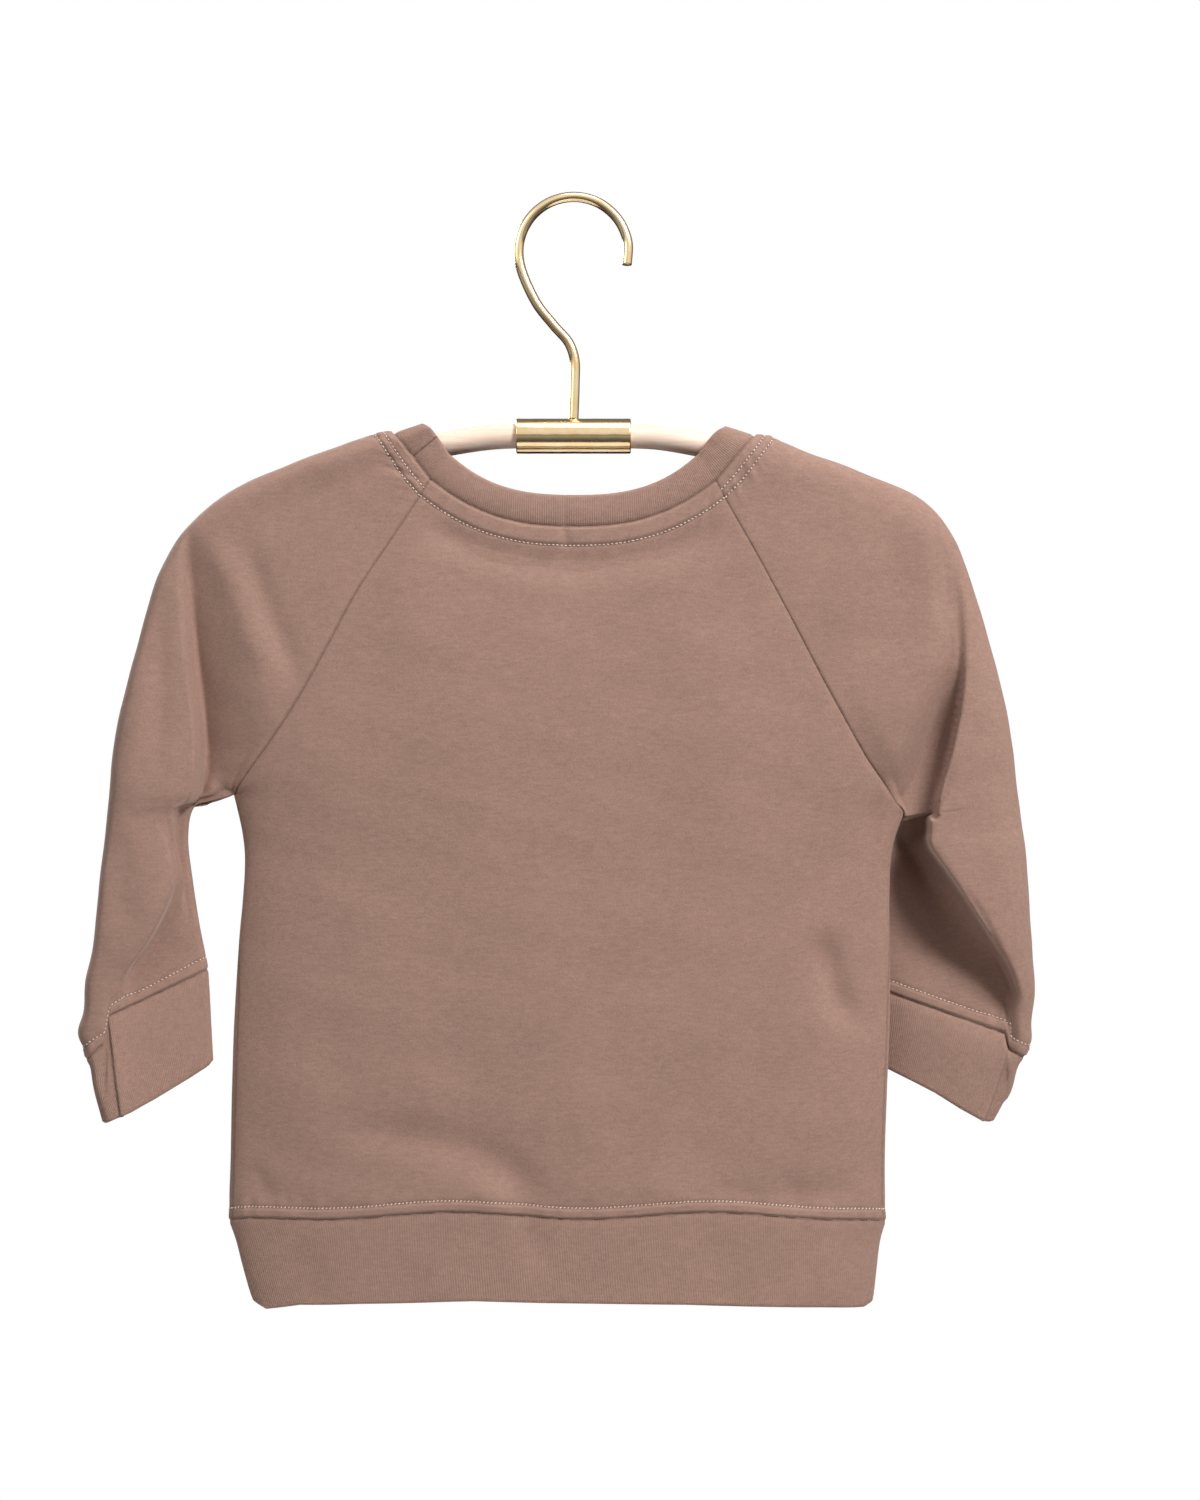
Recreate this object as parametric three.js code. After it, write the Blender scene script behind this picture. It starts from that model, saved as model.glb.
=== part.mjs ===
import * as THREE from 'three';

// A small child's crewneck sweatshirt with raglan sleeves, hung on a wooden hanger with a brass hook.
// Millimetres, +Z up. The origin is the point where the hook bears on a peg.
// The back of the garment faces -Y, and the wearer's left is at -X.

// Cloth and seams
const JERSEY_WALL = 1.6;
const RIB_WALL = 2.0;
const SEAM_GAP = 0.3;
const WELT_RISE = 0.7;

// Neck
const NECK_TIP_X = 75;
const COLLAR_WIDTH = 13;
const COLLAR_BULGE = 0.8;
const COLLAR_LEAN = THREE.MathUtils.degToRad(72);
const BACK_LEAN_POWER = 3;
const FRONT_LEAN_POWER = 1.4;
const NECK_CURVE_POWER = 2.5;
const FRONT_CORNER_SHIFT = { x: -4, z: -12 };

// Panel sections
const PANEL_STEPS = 24;
const PANEL_EDGE = { power: 3, root: 2.2 };
const ARMPIT_ROW = 10;
const TUBE_FAR_SHARE = 0.45;
const FRONT_LAST_SHARE = 0.8;
const FRONT_LAST_RISE = 0.75;
const OPEN_SHARES = [0.93, 0.86];
const QUARTER_ANGLES = [22.5, 45, 67.5];
const UNDERARM_RADIUS = 4;
const SECTION_STEPS = [1, 1, 2, 2, 1, 1, 1, 1, 1, 1, 1, 1, 2, 2, 1, 1];

// Hem line
const HEM_WAVE = { rise: 1.5, length: 108, crest: -50 };

// Hanger
const BAR_RADIUS = 5.1;
const BAR_SIDES = 14;
const BAR_STEPS = 30;
const BAR_HEIGHT = -98.4;
const BAR_SEAT_ROWS = [2, 3, 4, 4.6];
const BAR_SEAT_STEP = 0.2;
const BAR_SEAT_GAP = 0.6;
const BAR_MIDDLE = { reach: 40, drop: 1.2 };
const CLAMP = { length: 48, radius: 7.3, bore: 5.4, chamfer: 0.6, sides: 28 };
const WIRE = { radius: 2.1, sides: 8, steps: 48 };
const HOOK_ARC = { x: 0, z: -21, radius: 23.1, from: -14, to: 190, points: 9 };
const HOOK_STEM = table(['x', 'z'], [[-15.9, -42.0], [-8.1, -52.1], [-2.0, -59.2], [0.4, -66.2], [0.5, -76.0]]);

// Sleeve sections from the neck seam to the cuff seam. out is the silhouette's point and in is the raglan
// seam's or the underarm's, each a distance from the middle and a height. back and front are the Y of the
// in point on either side. crest and dip are the Y of the back layer at a share of the width from out,
// far is the Y of the front layer, and shut is 1 where the sleeve has closed to a tube.
const SLEEVE_COLUMNS = [
  'outX', 'outZ', 'inX', 'inZ', 'back', 'front', 'crestAt', 'crest', 'dipAt', 'dip', 'far', 'shut',
];
const LEFT_SLEEVE = table(SLEEVE_COLUMNS, [
  [75.0, -97.5, 59.4, -117.6, -9.5, 9.5, 0.50, -10.0, 0.78, -9.8, 10.0, 0],
  [81.7, -97.7, 66.1, -128.1, -10.0, 10.0, 0.42, -10.3, 0.74, -10.2, 10.3, 0],
  [98.1, -103.8, 76.4, -143.7, -10.8, 10.8, 0.34, -10.8, 0.70, -10.9, 10.8, 0],
  [119.1, -110.9, 90.1, -164.6, -11.6, 11.6, 0.27, -11.3, 0.65, -11.8, 11.3, 0],
  [143.4, -122.3, 101.8, -186.5, -12.2, 12.2, 0.24, -11.8, 0.62, -12.5, 11.8, 0],
  [161.9, -137.8, 110.7, -202.9, -12.4, 12.4, 0.25, -12.5, 0.62, -13.0, 12.5, 0],
  [172.4, -155.4, 118.8, -216.3, -11.8, 11.8, 0.30, -13.5, 0.65, -13.5, 14.0, 0],
  [179.1, -175.6, 126.8, -227.9, -10.3, 10.3, 0.36, -14.2, 0.70, -13.5, 15.5, 0],
  [185.8, -199.5, 134.3, -237.8, -8.0, 8.0, 0.42, -15.0, 0.75, -13.0, 17.0, 0.1],
  [190.9, -225.2, 139.9, -245.3, -4.6, 4.6, 0.46, -15.5, 0.78, -12.5, 18.0, 0.4],
  [193.2, -244.9, 142.6, -249.1, 0, 0, 0.48, -15.8, 0.80, -12.5, 18.5, 1],
  [194.2, -254.6, 151.4, -251.4, 0, 0, 0.50, -15.6, 0.80, -13.0, 19.0, 1],
  [195.1, -263.8, 159.4, -254.6, 0, 0, 0.52, -15.4, 0.80, -12.8, 19.0, 1],
  [196.6, -276.4, 161.7, -267.2, 0, 0, 0.62, -15.8, 0.84, -12.0, 19.0, 1],
  [198.7, -293.2, 160.0, -284.8, 1, 1, 0.72, -16.5, 0.88, -6.0, 19.0, 1],
  [200.8, -313.4, 157.3, -303.7, 2, 2, 0.55, -17.0, 0.72, -4.0, 19.0, 1],
  [203.7, -328.9, 155.4, -314.2, 3, 3, 0.30, -16.5, 0.46, -5.5, 18.0, 1],
  [206.5, -347.0, 153.9, -322.6, 3, 3, 0.19, -15.0, 0.42, -8.0, 16.0, 1],
]);
const RIGHT_SLEEVE = table(SLEEVE_COLUMNS, [
  [75.6, -98.3, 59.2, -118.1, -9.5, 9.5, 0.50, -10.0, 0.78, -9.8, 10.0, 0],
  [82.5, -99.2, 65.7, -130.2, -10.0, 10.0, 0.42, -10.3, 0.74, -10.2, 10.3, 0],
  [99.3, -105.7, 77.1, -150.4, -10.8, 10.8, 0.32, -10.8, 0.70, -10.9, 10.8, 0],
  [119.5, -112.6, 90.9, -176.4, -11.6, 11.6, 0.24, -11.3, 0.65, -11.8, 11.3, 0],
  [145.5, -125.6, 103.5, -200.8, -12.2, 12.2, 0.21, -11.8, 0.62, -12.5, 11.8, 0],
  [158.5, -140.3, 111.1, -214.7, -12.4, 12.4, 0.22, -12.5, 0.62, -13.0, 12.5, 0],
  [165.5, -156.7, 114.8, -221.4, -11.8, 11.8, 0.28, -13.5, 0.65, -13.5, 14.0, 0],
  [173.0, -179.8, 122.1, -233.8, -10.3, 10.3, 0.36, -14.2, 0.70, -13.5, 16.0, 0],
  [179.8, -205.8, 129.4, -244.1, -8.0, 8.0, 0.42, -15.0, 0.75, -13.0, 18.0, 0.1],
  [184.0, -228.1, 134.8, -252.0, -4.6, 4.6, 0.50, -15.5, 0.80, -12.0, 20.0, 0.4],
  [186.5, -249.1, 138.4, -257.5, 0, 0, 0.62, -15.8, 0.82, -8.0, 22.0, 1],
  [187.9, -261.7, 134.0, -265.0, 9, 9, 0.65, -16.0, 0.76, 3.0, 23.5, 1],
  [189.0, -272.2, 130.5, -272.5, 11.5, 11.5, 0.62, -16.5, 0.73, 7.0, 24.0, 1],
  [190.5, -293.2, 128.5, -288.0, 12, 12, 0.46, -16.5, 0.60, 7.0, 24.0, 1],
  [192.2, -314.2, 126.5, -306.6, 13, 13, 0.24, -14.5, 0.40, 4.0, 24.0, 1],
  [193.0, -331.0, 125.5, -318.4, 13, 13, 0.13, -12.0, 0.34, -1.0, 24.0, 1],
  [190.9, -352.0, 125.0, -330.2, 13, 13, 0.08, -9.0, 0.30, -3.0, 23.0, 1],
]);

// The cuffs, from the seam down to the edge
const LEFT_CUFF = table(SLEEVE_COLUMNS, [
  [205.0, -349.0, 153.9, -323.6, 3, 3, 0.19, -14.5, 0.42, -8.5, 16.0, 1],
  [203.4, -358.0, 153.3, -333.0, 3, 3, 0.16, -14.0, 0.42, -9.0, 15.0, 1],
  [200.0, -371.0, 152.6, -347.5, 3, 3, 0.14, -13.5, 0.42, -8.5, 14.0, 1],
  [196.6, -385.0, 151.8, -362.6, 3, 3, 0.12, -13.0, 0.42, -8.0, 13.0, 1],
]);
const RIGHT_CUFF = table(SLEEVE_COLUMNS, [
  [189.6, -354.0, 125.0, -331.0, 13, 13, 0.09, -9.0, 0.30, -4.0, 22.5, 1],
  [186.4, -361.5, 124.8, -340.0, 13, 13, 0.10, -9.0, 0.32, -5.0, 22.0, 1],
  [182.0, -373.5, 124.4, -352.0, 13, 13, 0.11, -9.0, 0.34, -4.5, 21.5, 1],
  [175.8, -385.0, 124.0, -364.0, 13, 13, 0.12, -9.0, 0.34, -4.0, 21.0, 1],
]);

// The body at each raglan row: the Y of the middle of the back and front, and how far the row's middle hangs
// below its ends
const YOKE = table(['back', 'front', 'backSag', 'frontSag'], [
  [-10.0, 9.5, 19.4, 33.0],
  [-10.6, 10.4, 17.5, 29.5],
  [-11.6, 11.4, 13.5, 24.0],
  [-12.6, 12.2, 9.0, 16.0],
  [-13.4, 12.8, 5.5, 9.5],
  [-13.9, 13.2, 3.8, 6.5],
  [-14.2, 13.5, 2.6, 4.5],
  [-14.4, 13.8, 1.6, 3.0],
  [-14.5, 14.0, 0.9, 1.6],
  [-14.6, 14.2, 0.4, 0.6],
  [-14.6, 14.3, 0, 0],
]);

// The body from the armpits to the hem seam, and the hem band from there to its edge
const BODY_COLUMNS = ['leftX', 'leftZ', 'rightX', 'rightZ', 'back', 'front', 'wave'];
const BODY = table(BODY_COLUMNS, [
  [142.6, -249.1, 138.4, -257.5, -14.6, 14.3, 0],
  [138.9, -265.9, 134.2, -270.1, -14.7, 14.4, 0],
  [138.1, -281.0, 132.8, -284.0, -14.8, 14.5, 0],
  [140.4, -310.0, 132.8, -310.0, -15.0, 14.8, 0.1],
  [142.4, -342.0, 132.8, -342.0, -15.2, 15.0, 0.3],
  [143.5, -374.0, 131.6, -374.0, -15.2, 15.0, 0.5],
  [144.0, -400.0, 130.7, -400.0, -15.0, 14.8, 0.8],
  [144.6, -420.5, 130.8, -420.5, -14.8, 14.5, 1],
  [144.8, -421.3, 131.0, -421.3, -14.8, 14.5, 1],
  [144.7, -428.0, 131.2, -428.0, -14.6, 14.4, 1],
]);
const HEM = table(BODY_COLUMNS, [
  [144.7, -428.0, 131.2, -428.0, -14.6, 14.4, 1],
  [141.8, -436.0, 128.8, -436.0, -14.4, 14.2, 0.9],
  [139.0, -447.0, 127.4, -447.0, -14.2, 14.0, 0.6],
  [135.9, -458.5, 126.2, -458.5, -14.0, 13.8, 0.5],
  [134.2, -463.8, 125.4, -463.8, -13.9, 13.7, 0.5],
]);

// The largest folds: soft troughs in the cloth between two points, on the back, the front or both
const FOLDS = table(['fromX', 'fromZ', 'toX', 'toZ', 'width', 'depth', 'side'], [
  [-161, -146, -155, -243, 7, 2.2, 0],
  [-132, -178, -146, -250, 9, 1.4, 0],
  [160, -146, 151, -240, 7, 2.2, 0],
  [128, -190, 140, -255, 9, 1.4, 0],
  [-110, -262, -60, -300, 12, 0.9, -1],
  [108, -268, 66, -318, 12, 0.9, -1],
  [-96, -232, -58, -272, 13, 1.1, 1],
  [92, -236, 40, -300, 13, 1.1, 1],
]);

// Rows that are built, as places in the tables above. The raised welt beside a seam ends at a small step.
const YOKE_ROWS = [0, 0.62, 0.7, 1.35, 2, 2.5, 3, 3.5, 4, 4.5, 5, 6, 7, 8, 9, 10];
const YOKE_WELT_END = 0.62;
const LEFT_TUBE_ROWS = [11, 12, 13, 13.6, 14.2, 14.8, 15.4, 16, 16.5, 16.56, 17];
const RIGHT_TUBE_ROWS = [10.5, 11, 11.5, 12, 12.6, 13.2, 14, 14.7, 15.3, 15.72, 15.78, 16];
const TUBE_WELT_START = { left: 16.56, right: 15.78 };
const BODY_ROWS = [0.5, 1, 2, 3, 4, 5, 6, 7, 8, 9];
const BODY_WELT_START = 8;
const HEM_ROWS = [0, 1, 2, 3, 4];
const CUFF_ROWS = [1, 2, 3];
const COLLAR_ROWS = [1, 0.5, 0];

const MATERIALS = {
  jersey: new THREE.MeshStandardMaterial({ color: 0xa08073, roughness: 0.95, metalness: 0 }),
  rib: new THREE.MeshStandardMaterial({ color: 0x9a7a6d, roughness: 0.95, metalness: 0 }),
  wood: new THREE.MeshStandardMaterial({ color: 0xe6cba6, roughness: 0.6, metalness: 0 }),
  brass: new THREE.MeshStandardMaterial({ color: 0xc9a35c, roughness: 0.25, metalness: 1 }),
};

// Tables and curves

function table(names, rows) {
  return rows.map((row) => Object.fromEntries(names.map((name, column) => [name, row[column]])));
}

function blendFour(before, from, to, after, share) {
  const slopeFrom = (to - before) / 2;
  const slopeTo = (after - from) / 2;
  const rest = 1 - share;
  return from * rest * rest * (1 + 2 * share) + to * share * share * (3 - 2 * share)
    + slopeFrom * share * rest * rest - slopeTo * share * share * rest;
}

function rowAt(rows, place) {
  const last = rows.length - 1;
  const index = Math.min(Math.floor(place), last - 1);
  const near = [index - 1, index, index + 1, index + 2].map((i) => rows[THREE.MathUtils.clamp(i, 0, last)]);
  const values = {};
  for (const name of Object.keys(rows[0])) {
    values[name] = blendFour(...near.map((row) => row[name]), place - index);
  }
  return values;
}

// How far a trough pulls the cloth towards the inside at a point
function foldDepth(x, z, side) {
  let depth = 0;
  for (const fold of FOLDS) {
    if (fold.side * side < 0) continue;
    const run = new THREE.Vector2(fold.toX - fold.fromX, fold.toZ - fold.fromZ);
    const from = new THREE.Vector2(x - fold.fromX, z - fold.fromZ);
    const along = from.dot(run) / run.lengthSq();
    const across = Math.abs(from.cross(run)) / run.length();
    const start = THREE.MathUtils.smoothstep(along, -0.15, 0.25);
    const end = 1 - THREE.MathUtils.smoothstep(along, 0.7, 1.15);
    depth += fold.depth * start * end * Math.exp(-((across / fold.width) ** 2));
  }
  return depth;
}

// Cloth gives way along Y as far as it faces it
function pressed(point, facing) {
  const side = Math.sign(facing);
  return point.setY(point.y - side * foldDepth(point.x, point.z, side) * Math.abs(facing));
}

// The sleeve

function frontCorner(row, place) {
  const share = Math.max(0, 1 - place / ARMPIT_ROW);
  return { x: row.inX + FRONT_CORNER_SHIFT.x * share, z: row.inZ + FRONT_CORNER_SHIFT.z * share };
}

// Points of one sleeve section, from the back seam over the silhouette to the front seam
function sleeveSection(rows, place, side) {
  const row = rowAt(rows, place);
  const back = { x: row.inX, z: row.inZ };
  const front = rows.length > ARMPIT_ROW ? frontCorner(row, place) : back;
  const width = Math.hypot(row.outX - row.inX, row.outZ - row.inZ);
  const at = (inner, share, y) => new THREE.Vector3(
    side * THREE.MathUtils.lerp(row.outX, inner.x, share), y, THREE.MathUtils.lerp(row.outZ, inner.z, share));
  const quarter = (inner, share, y) => QUARTER_ANGLES.map((degrees) => {
    const angle = THREE.MathUtils.degToRad(degrees);
    return at(inner, share * (1 - Math.cos(angle)), y * Math.sin(angle));
  });
  const edge = (inner, seamY, nextY, turn) => OPEN_SHARES.map((share, index) => {
    const open = { share, y: THREE.MathUtils.lerp(seamY, nextY, (index + 1) / 3) };
    const angle = (index + 1) * Math.PI / 4;
    const round = {
      share: 1 - UNDERARM_RADIUS * (1 - Math.cos(angle)) / width,
      y: seamY + turn * UNDERARM_RADIUS * Math.sin(angle),
    };
    return at(inner, THREE.MathUtils.lerp(open.share, round.share, row.shut),
      THREE.MathUtils.lerp(open.y, round.y, row.shut));
  });
  const lastY = THREE.MathUtils.lerp(row.front, row.far, FRONT_LAST_RISE);
  const farAt = THREE.MathUtils.lerp(row.crestAt, TUBE_FAR_SHARE, row.shut);
  const controls = [
    at(back, 1, row.back), ...edge(back, row.back, row.dip, -1),
    at(back, row.dipAt, row.dip), at(back, row.crestAt, row.crest),
    ...quarter(back, row.crestAt, row.crest).reverse(), at(back, 0, 0),
    ...quarter(front, farAt, row.far), at(front, farAt, row.far),
    at(front, FRONT_LAST_SHARE, lastY), ...edge(front, row.front, lastY, 1).reverse(),
    at(front, 1, row.front),
  ];
  const curve = new THREE.CatmullRomCurve3(controls, false, 'centripetal');
  const spans = SECTION_STEPS.length;
  const silhouette = spans / 2;
  const points = [];
  SECTION_STEPS.forEach((steps, span) => {
    for (let step = 0; step < steps; step += 1) {
      const index = span + step / steps;
      const facing = Math.sign(index - silhouette) * Math.min(1, Math.abs(index - silhouette) / 3);
      const open = Math.min(1, index, spans - index);
      points.push(pressed(curve.getPoint(index / spans), facing * open));
    }
  });
  points.push(controls[spans].clone());
  return side > 0 ? points : points.reverse();
}

// The body panels

function panelRow(left, right, middleY, sag, wave, turn) {
  const points = [];
  for (let step = 0; step <= PANEL_STEPS; step += 1) {
    const across = -Math.cos(Math.PI * step / PANEL_STEPS) * turn;
    const share = (across + 1) / 2;
    const crown = (1 - Math.abs(across) ** PANEL_EDGE.power) ** (1 / PANEL_EDGE.root);
    const x = THREE.MathUtils.lerp(left.x, right.x, share);
    const seamY = THREE.MathUtils.lerp(left.y, right.y, share);
    const lift = HEM_WAVE.rise * Math.cos(2 * Math.PI * (x - HEM_WAVE.crest) / HEM_WAVE.length);
    const z = THREE.MathUtils.lerp(left.z, right.z, share)
      - sag * (1 - Math.abs(across) ** NECK_CURVE_POWER) + wave * crown * lift;
    points.push(pressed(new THREE.Vector3(x, THREE.MathUtils.lerp(seamY, middleY, crown), z), -turn * crown));
  }
  return points;
}

// turn is 1 for the back, whose points run from the left, and -1 for the front, whose points run from the right
function yokeRow(place, turn) {
  const [left, right] = [LEFT_SLEEVE, RIGHT_SLEEVE].map((rows) => {
    const row = rowAt(rows, place);
    return turn > 0 ? { x: row.inX, y: row.back, z: row.inZ } : { ...frontCorner(row, place), y: row.front };
  });
  left.x = -left.x;
  const middle = rowAt(YOKE, place);
  return turn > 0 ? panelRow(left, right, middle.back, middle.backSag, 0, turn)
    : panelRow(left, right, middle.front, middle.frontSag, 0, turn);
}

function bodyRow(rows, place, turn) {
  const row = rowAt(rows, place);
  const left = { x: -row.leftX, y: 0, z: row.leftZ };
  const right = { x: row.rightX, y: 0, z: row.rightZ };
  return panelRow(left, right, turn > 0 ? row.back : row.front, 0, row.wave, turn);
}

// A cloth piece is rows of points with how far each row's outer face is raised
function piece(name, wall, points, { raises, ring = false } = {}) {
  return { name, wall, points, raise: raises ?? points.map(() => 0), ring };
}

function panel(name, turn) {
  const rows = YOKE_ROWS.map((place) => yokeRow(place, turn));
  const raises = YOKE_ROWS.map((place) => (place <= YOKE_WELT_END ? WELT_RISE : 0));
  for (const place of BODY_ROWS) {
    rows.push(bodyRow(BODY, place, turn));
    raises.push(place >= BODY_WELT_START ? WELT_RISE : 0);
  }
  return piece(name, JERSEY_WALL, rows, { raises });
}

function sleeve(name, sections, tubeRows, weltStart, side) {
  const places = [...YOKE_ROWS, ...tubeRows];
  const rows = places.map((place) => sleeveSection(sections, place, side));
  const raises = places.map((place) => (place <= YOKE_WELT_END || place >= weltStart ? WELT_RISE : 0));
  return piece(name, JERSEY_WALL, rows, { raises });
}

function ringOf(...runs) {
  return runs.flatMap((run) => run.slice(0, -1));
}

function cuff(name, seam, sections, side) {
  const lower = CUFF_ROWS.map((place) => sleeveSection(sections, place, side));
  return piece(name, RIB_WALL, [seam, ...lower].map((ring) => ringOf(ring)), { ring: true });
}

function hemBand(name) {
  const rings = HEM_ROWS.map((place) => ringOf(bodyRow(HEM, place, 1), bodyRow(HEM, place, -1)));
  return piece(name, RIB_WALL, rings, { ring: true });
}

// The collar stands on the neck seam and leans inwards, more and more towards the shoulders
function collar(name, seam) {
  const rings = COLLAR_ROWS.map((height) => seam.map((point) => {
    const power = point.y < 0 ? BACK_LEAN_POWER : FRONT_LEAN_POWER;
    const lean = COLLAR_LEAN * Math.min(1, Math.abs(point.x) / NECK_TIP_X) ** power;
    const reach = COLLAR_WIDTH * height;
    const bulge = Math.sign(point.y) * COLLAR_BULGE * Math.sin(Math.PI * height) * Math.cos(lean);
    return new THREE.Vector3(point.x - Math.sign(point.x) * reach * Math.sin(lean), point.y + bulge,
      point.z + reach * Math.cos(lean));
  }));
  return piece(name, RIB_WALL, rings, { ring: true });
}

// Walls

function neighbours(grid, row, column) {
  const columns = grid.points[0].length;
  const above = grid.points[Math.max(row - 1, 0)][column];
  const below = grid.points[Math.min(row + 1, grid.points.length - 1)][column];
  const clamp = (index) => THREE.MathUtils.clamp(index, 0, columns - 1);
  const wrap = (index) => (grid.ring ? (index + columns) % columns : clamp(index));
  return [above, below, grid.points[row][wrap(column - 1)], grid.points[row][wrap(column + 1)]];
}

function addNormals(grid) {
  grid.normals = grid.points.map((points, row) => points.map((point, column) => {
    const [above, below, before, after] = neighbours(grid, row, column);
    return below.clone().sub(above).cross(after.clone().sub(before)).normalize();
  }));
}

// Pieces that meet at a seam take one direction there, so that their cut edges stay parallel
function shareSeamNormals(grids) {
  const seams = new Map();
  for (const grid of grids) {
    grid.points.forEach((points, row) => points.forEach((point, column) => {
      const key = point.toArray().map((value) => Math.round(value * 50)).join(' ');
      if (!seams.has(key)) seams.set(key, []);
      seams.get(key).push({ grid, row, column });
    }));
  }
  for (const places of seams.values()) {
    if (places.length < 2) continue;
    const sum = new THREE.Vector3();
    for (const { grid, row, column } of places) sum.add(grid.normals[row][column]);
    for (const { grid, row, column } of places) grid.normals[row][column] = sum.clone().normalize();
  }
}

// Cut edges stand back from the seam by half its gap
function trimEdges(grid) {
  const points = grid.points;
  const trimmed = points.map((row) => row.map((point) => point.clone()));
  const lastRow = points.length - 1;
  const lastColumn = points[0].length - 1;
  const pull = (row, column, toRow, toColumn) => {
    const step = points[toRow][toColumn].clone().sub(points[row][column]).setLength(SEAM_GAP / 2);
    trimmed[row][column].add(step);
  };
  for (let column = 0; column <= lastColumn; column += 1) {
    pull(0, column, 1, column);
    pull(lastRow, column, lastRow - 1, column);
  }
  if (!grid.ring) {
    for (let row = 0; row <= lastRow; row += 1) {
      pull(row, 0, row, 1);
      pull(row, lastColumn, row, lastColumn - 1);
    }
  }
  return trimmed;
}

function wallGeometry(grid) {
  const base = trimEdges(grid);
  const rows = base.length;
  const columns = base[0].length;
  const offset = (row, column, distance) => base[row][column].clone()
    .addScaledVector(grid.normals[row][column], distance);
  const vertices = [];
  for (const layer of [0, 1]) {
    for (let row = 0; row < rows; row += 1) {
      for (let column = 0; column < columns; column += 1) {
        vertices.push(...offset(row, column, layer === 0 ? grid.raise[row] : -grid.wall).toArray());
      }
    }
  }
  const outer = (row, column) => row * columns + (column % columns);
  const inner = (row, column) => rows * columns + outer(row, column);
  const faces = [];
  const quad = (a, b, c, d) => faces.push(a, b, c, a, c, d);
  const runs = grid.ring ? columns : columns - 1;
  const [lastRow, lastColumn] = [rows - 1, columns - 1];
  for (let column = 0; column < runs; column += 1) {
    const next = column + 1;
    for (let row = 0; row < lastRow; row += 1) {
      quad(outer(row, column), outer(row + 1, column), outer(row + 1, next), outer(row, next));
      quad(inner(row, column), inner(row, next), inner(row + 1, next), inner(row + 1, column));
    }
    quad(outer(0, column), outer(0, next), inner(0, next), inner(0, column));
    quad(outer(lastRow, column), inner(lastRow, column), inner(lastRow, next), outer(lastRow, next));
  }
  if (!grid.ring) {
    for (let row = 0; row < lastRow; row += 1) {
      quad(outer(row, 0), inner(row, 0), inner(row + 1, 0), outer(row + 1, 0));
      quad(outer(row, lastColumn), outer(row + 1, lastColumn), inner(row + 1, lastColumn), inner(row, lastColumn));
    }
  }
  const geometry = new THREE.BufferGeometry();
  geometry.setAttribute('position', new THREE.Float32BufferAttribute(vertices, 3));
  geometry.setIndex(faces);
  geometry.computeVertexNormals();
  return geometry;
}

function mesh(name, geometry, material) {
  const object = new THREE.Mesh(geometry, material);
  object.name = name;
  return object;
}

// The garment

function garment() {
  const back = panel('back', 1);
  const front = panel('front', -1);
  const left = sleeve('sleeve_left', LEFT_SLEEVE, LEFT_TUBE_ROWS, TUBE_WELT_START.left, -1);
  const right = sleeve('sleeve_right', RIGHT_SLEEVE, RIGHT_TUBE_ROWS, TUBE_WELT_START.right, 1);
  const neck = ringOf(back.points[0], right.points[0], front.points[0], left.points[0]);
  const ribs = [
    collar('collar', neck),
    hemBand('hem_band'),
    cuff('cuff_left', left.points.at(-1), LEFT_CUFF, -1),
    cuff('cuff_right', right.points.at(-1), RIGHT_CUFF, 1),
  ];
  const jerseys = [back, front, left, right];
  const grids = [...jerseys, ...ribs];
  grids.forEach(addNormals);
  shareSeamNormals(grids);
  const group = new THREE.Group();
  for (const grid of jerseys) group.add(mesh(grid.name, wallGeometry(grid), MATERIALS.jersey));
  for (const grid of ribs) group.add(mesh(grid.name, wallGeometry(grid), MATERIALS.rib));
  return group;
}

// The hanger

function circle(radius, sides) {
  return new THREE.Shape(new THREE.EllipseCurve(0, 0, radius, radius).getPoints(sides).slice(0, sides));
}

function rod(path, radius, sides, steps) {
  return new THREE.ExtrudeGeometry(circle(radius, sides), { steps, bevelEnabled: false, extrudePath: path });
}

// The bar follows the shoulders from inside, a small gap under the cloth
function barSeats(rows, side) {
  const depth = JERSEY_WALL + BAR_SEAT_GAP + BAR_RADIUS;
  return BAR_SEAT_ROWS.map((place) => {
    const [before, here, after] = [-BAR_SEAT_STEP, 0, BAR_SEAT_STEP].map((shift) => rowAt(rows, place + shift));
    const run = new THREE.Vector2(after.outX - before.outX, after.outZ - before.outZ).normalize();
    return new THREE.Vector3(side * (here.outX + run.y * depth), 0, here.outZ - run.x * depth);
  });
}

function barPath() {
  const half = CLAMP.length / 2;
  const middle = [-BAR_MIDDLE.reach, -half, 0, half, BAR_MIDDLE.reach].map((x) => {
    const drop = Math.abs(x) > half ? BAR_MIDDLE.drop : 0;
    return new THREE.Vector3(x, 0, BAR_HEIGHT - drop);
  });
  const left = barSeats(LEFT_SLEEVE, -1).reverse();
  const right = barSeats(RIGHT_SLEEVE, 1);
  return new THREE.CatmullRomCurve3([...left, ...middle, ...right], false, 'centripetal');
}

function clampGeometry() {
  const { radius, bore, chamfer, sides } = CLAMP;
  const half = CLAMP.length / 2;
  const profile = [
    [bore, -half], [radius - chamfer, -half], [radius, -half + chamfer],
    [radius, half - chamfer], [radius - chamfer, half], [bore, half], [bore, -half],
  ].map(([distance, height]) => new THREE.Vector2(distance, height));
  return new THREE.LatheGeometry(profile, sides).rotateZ(Math.PI / 2);
}

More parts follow.
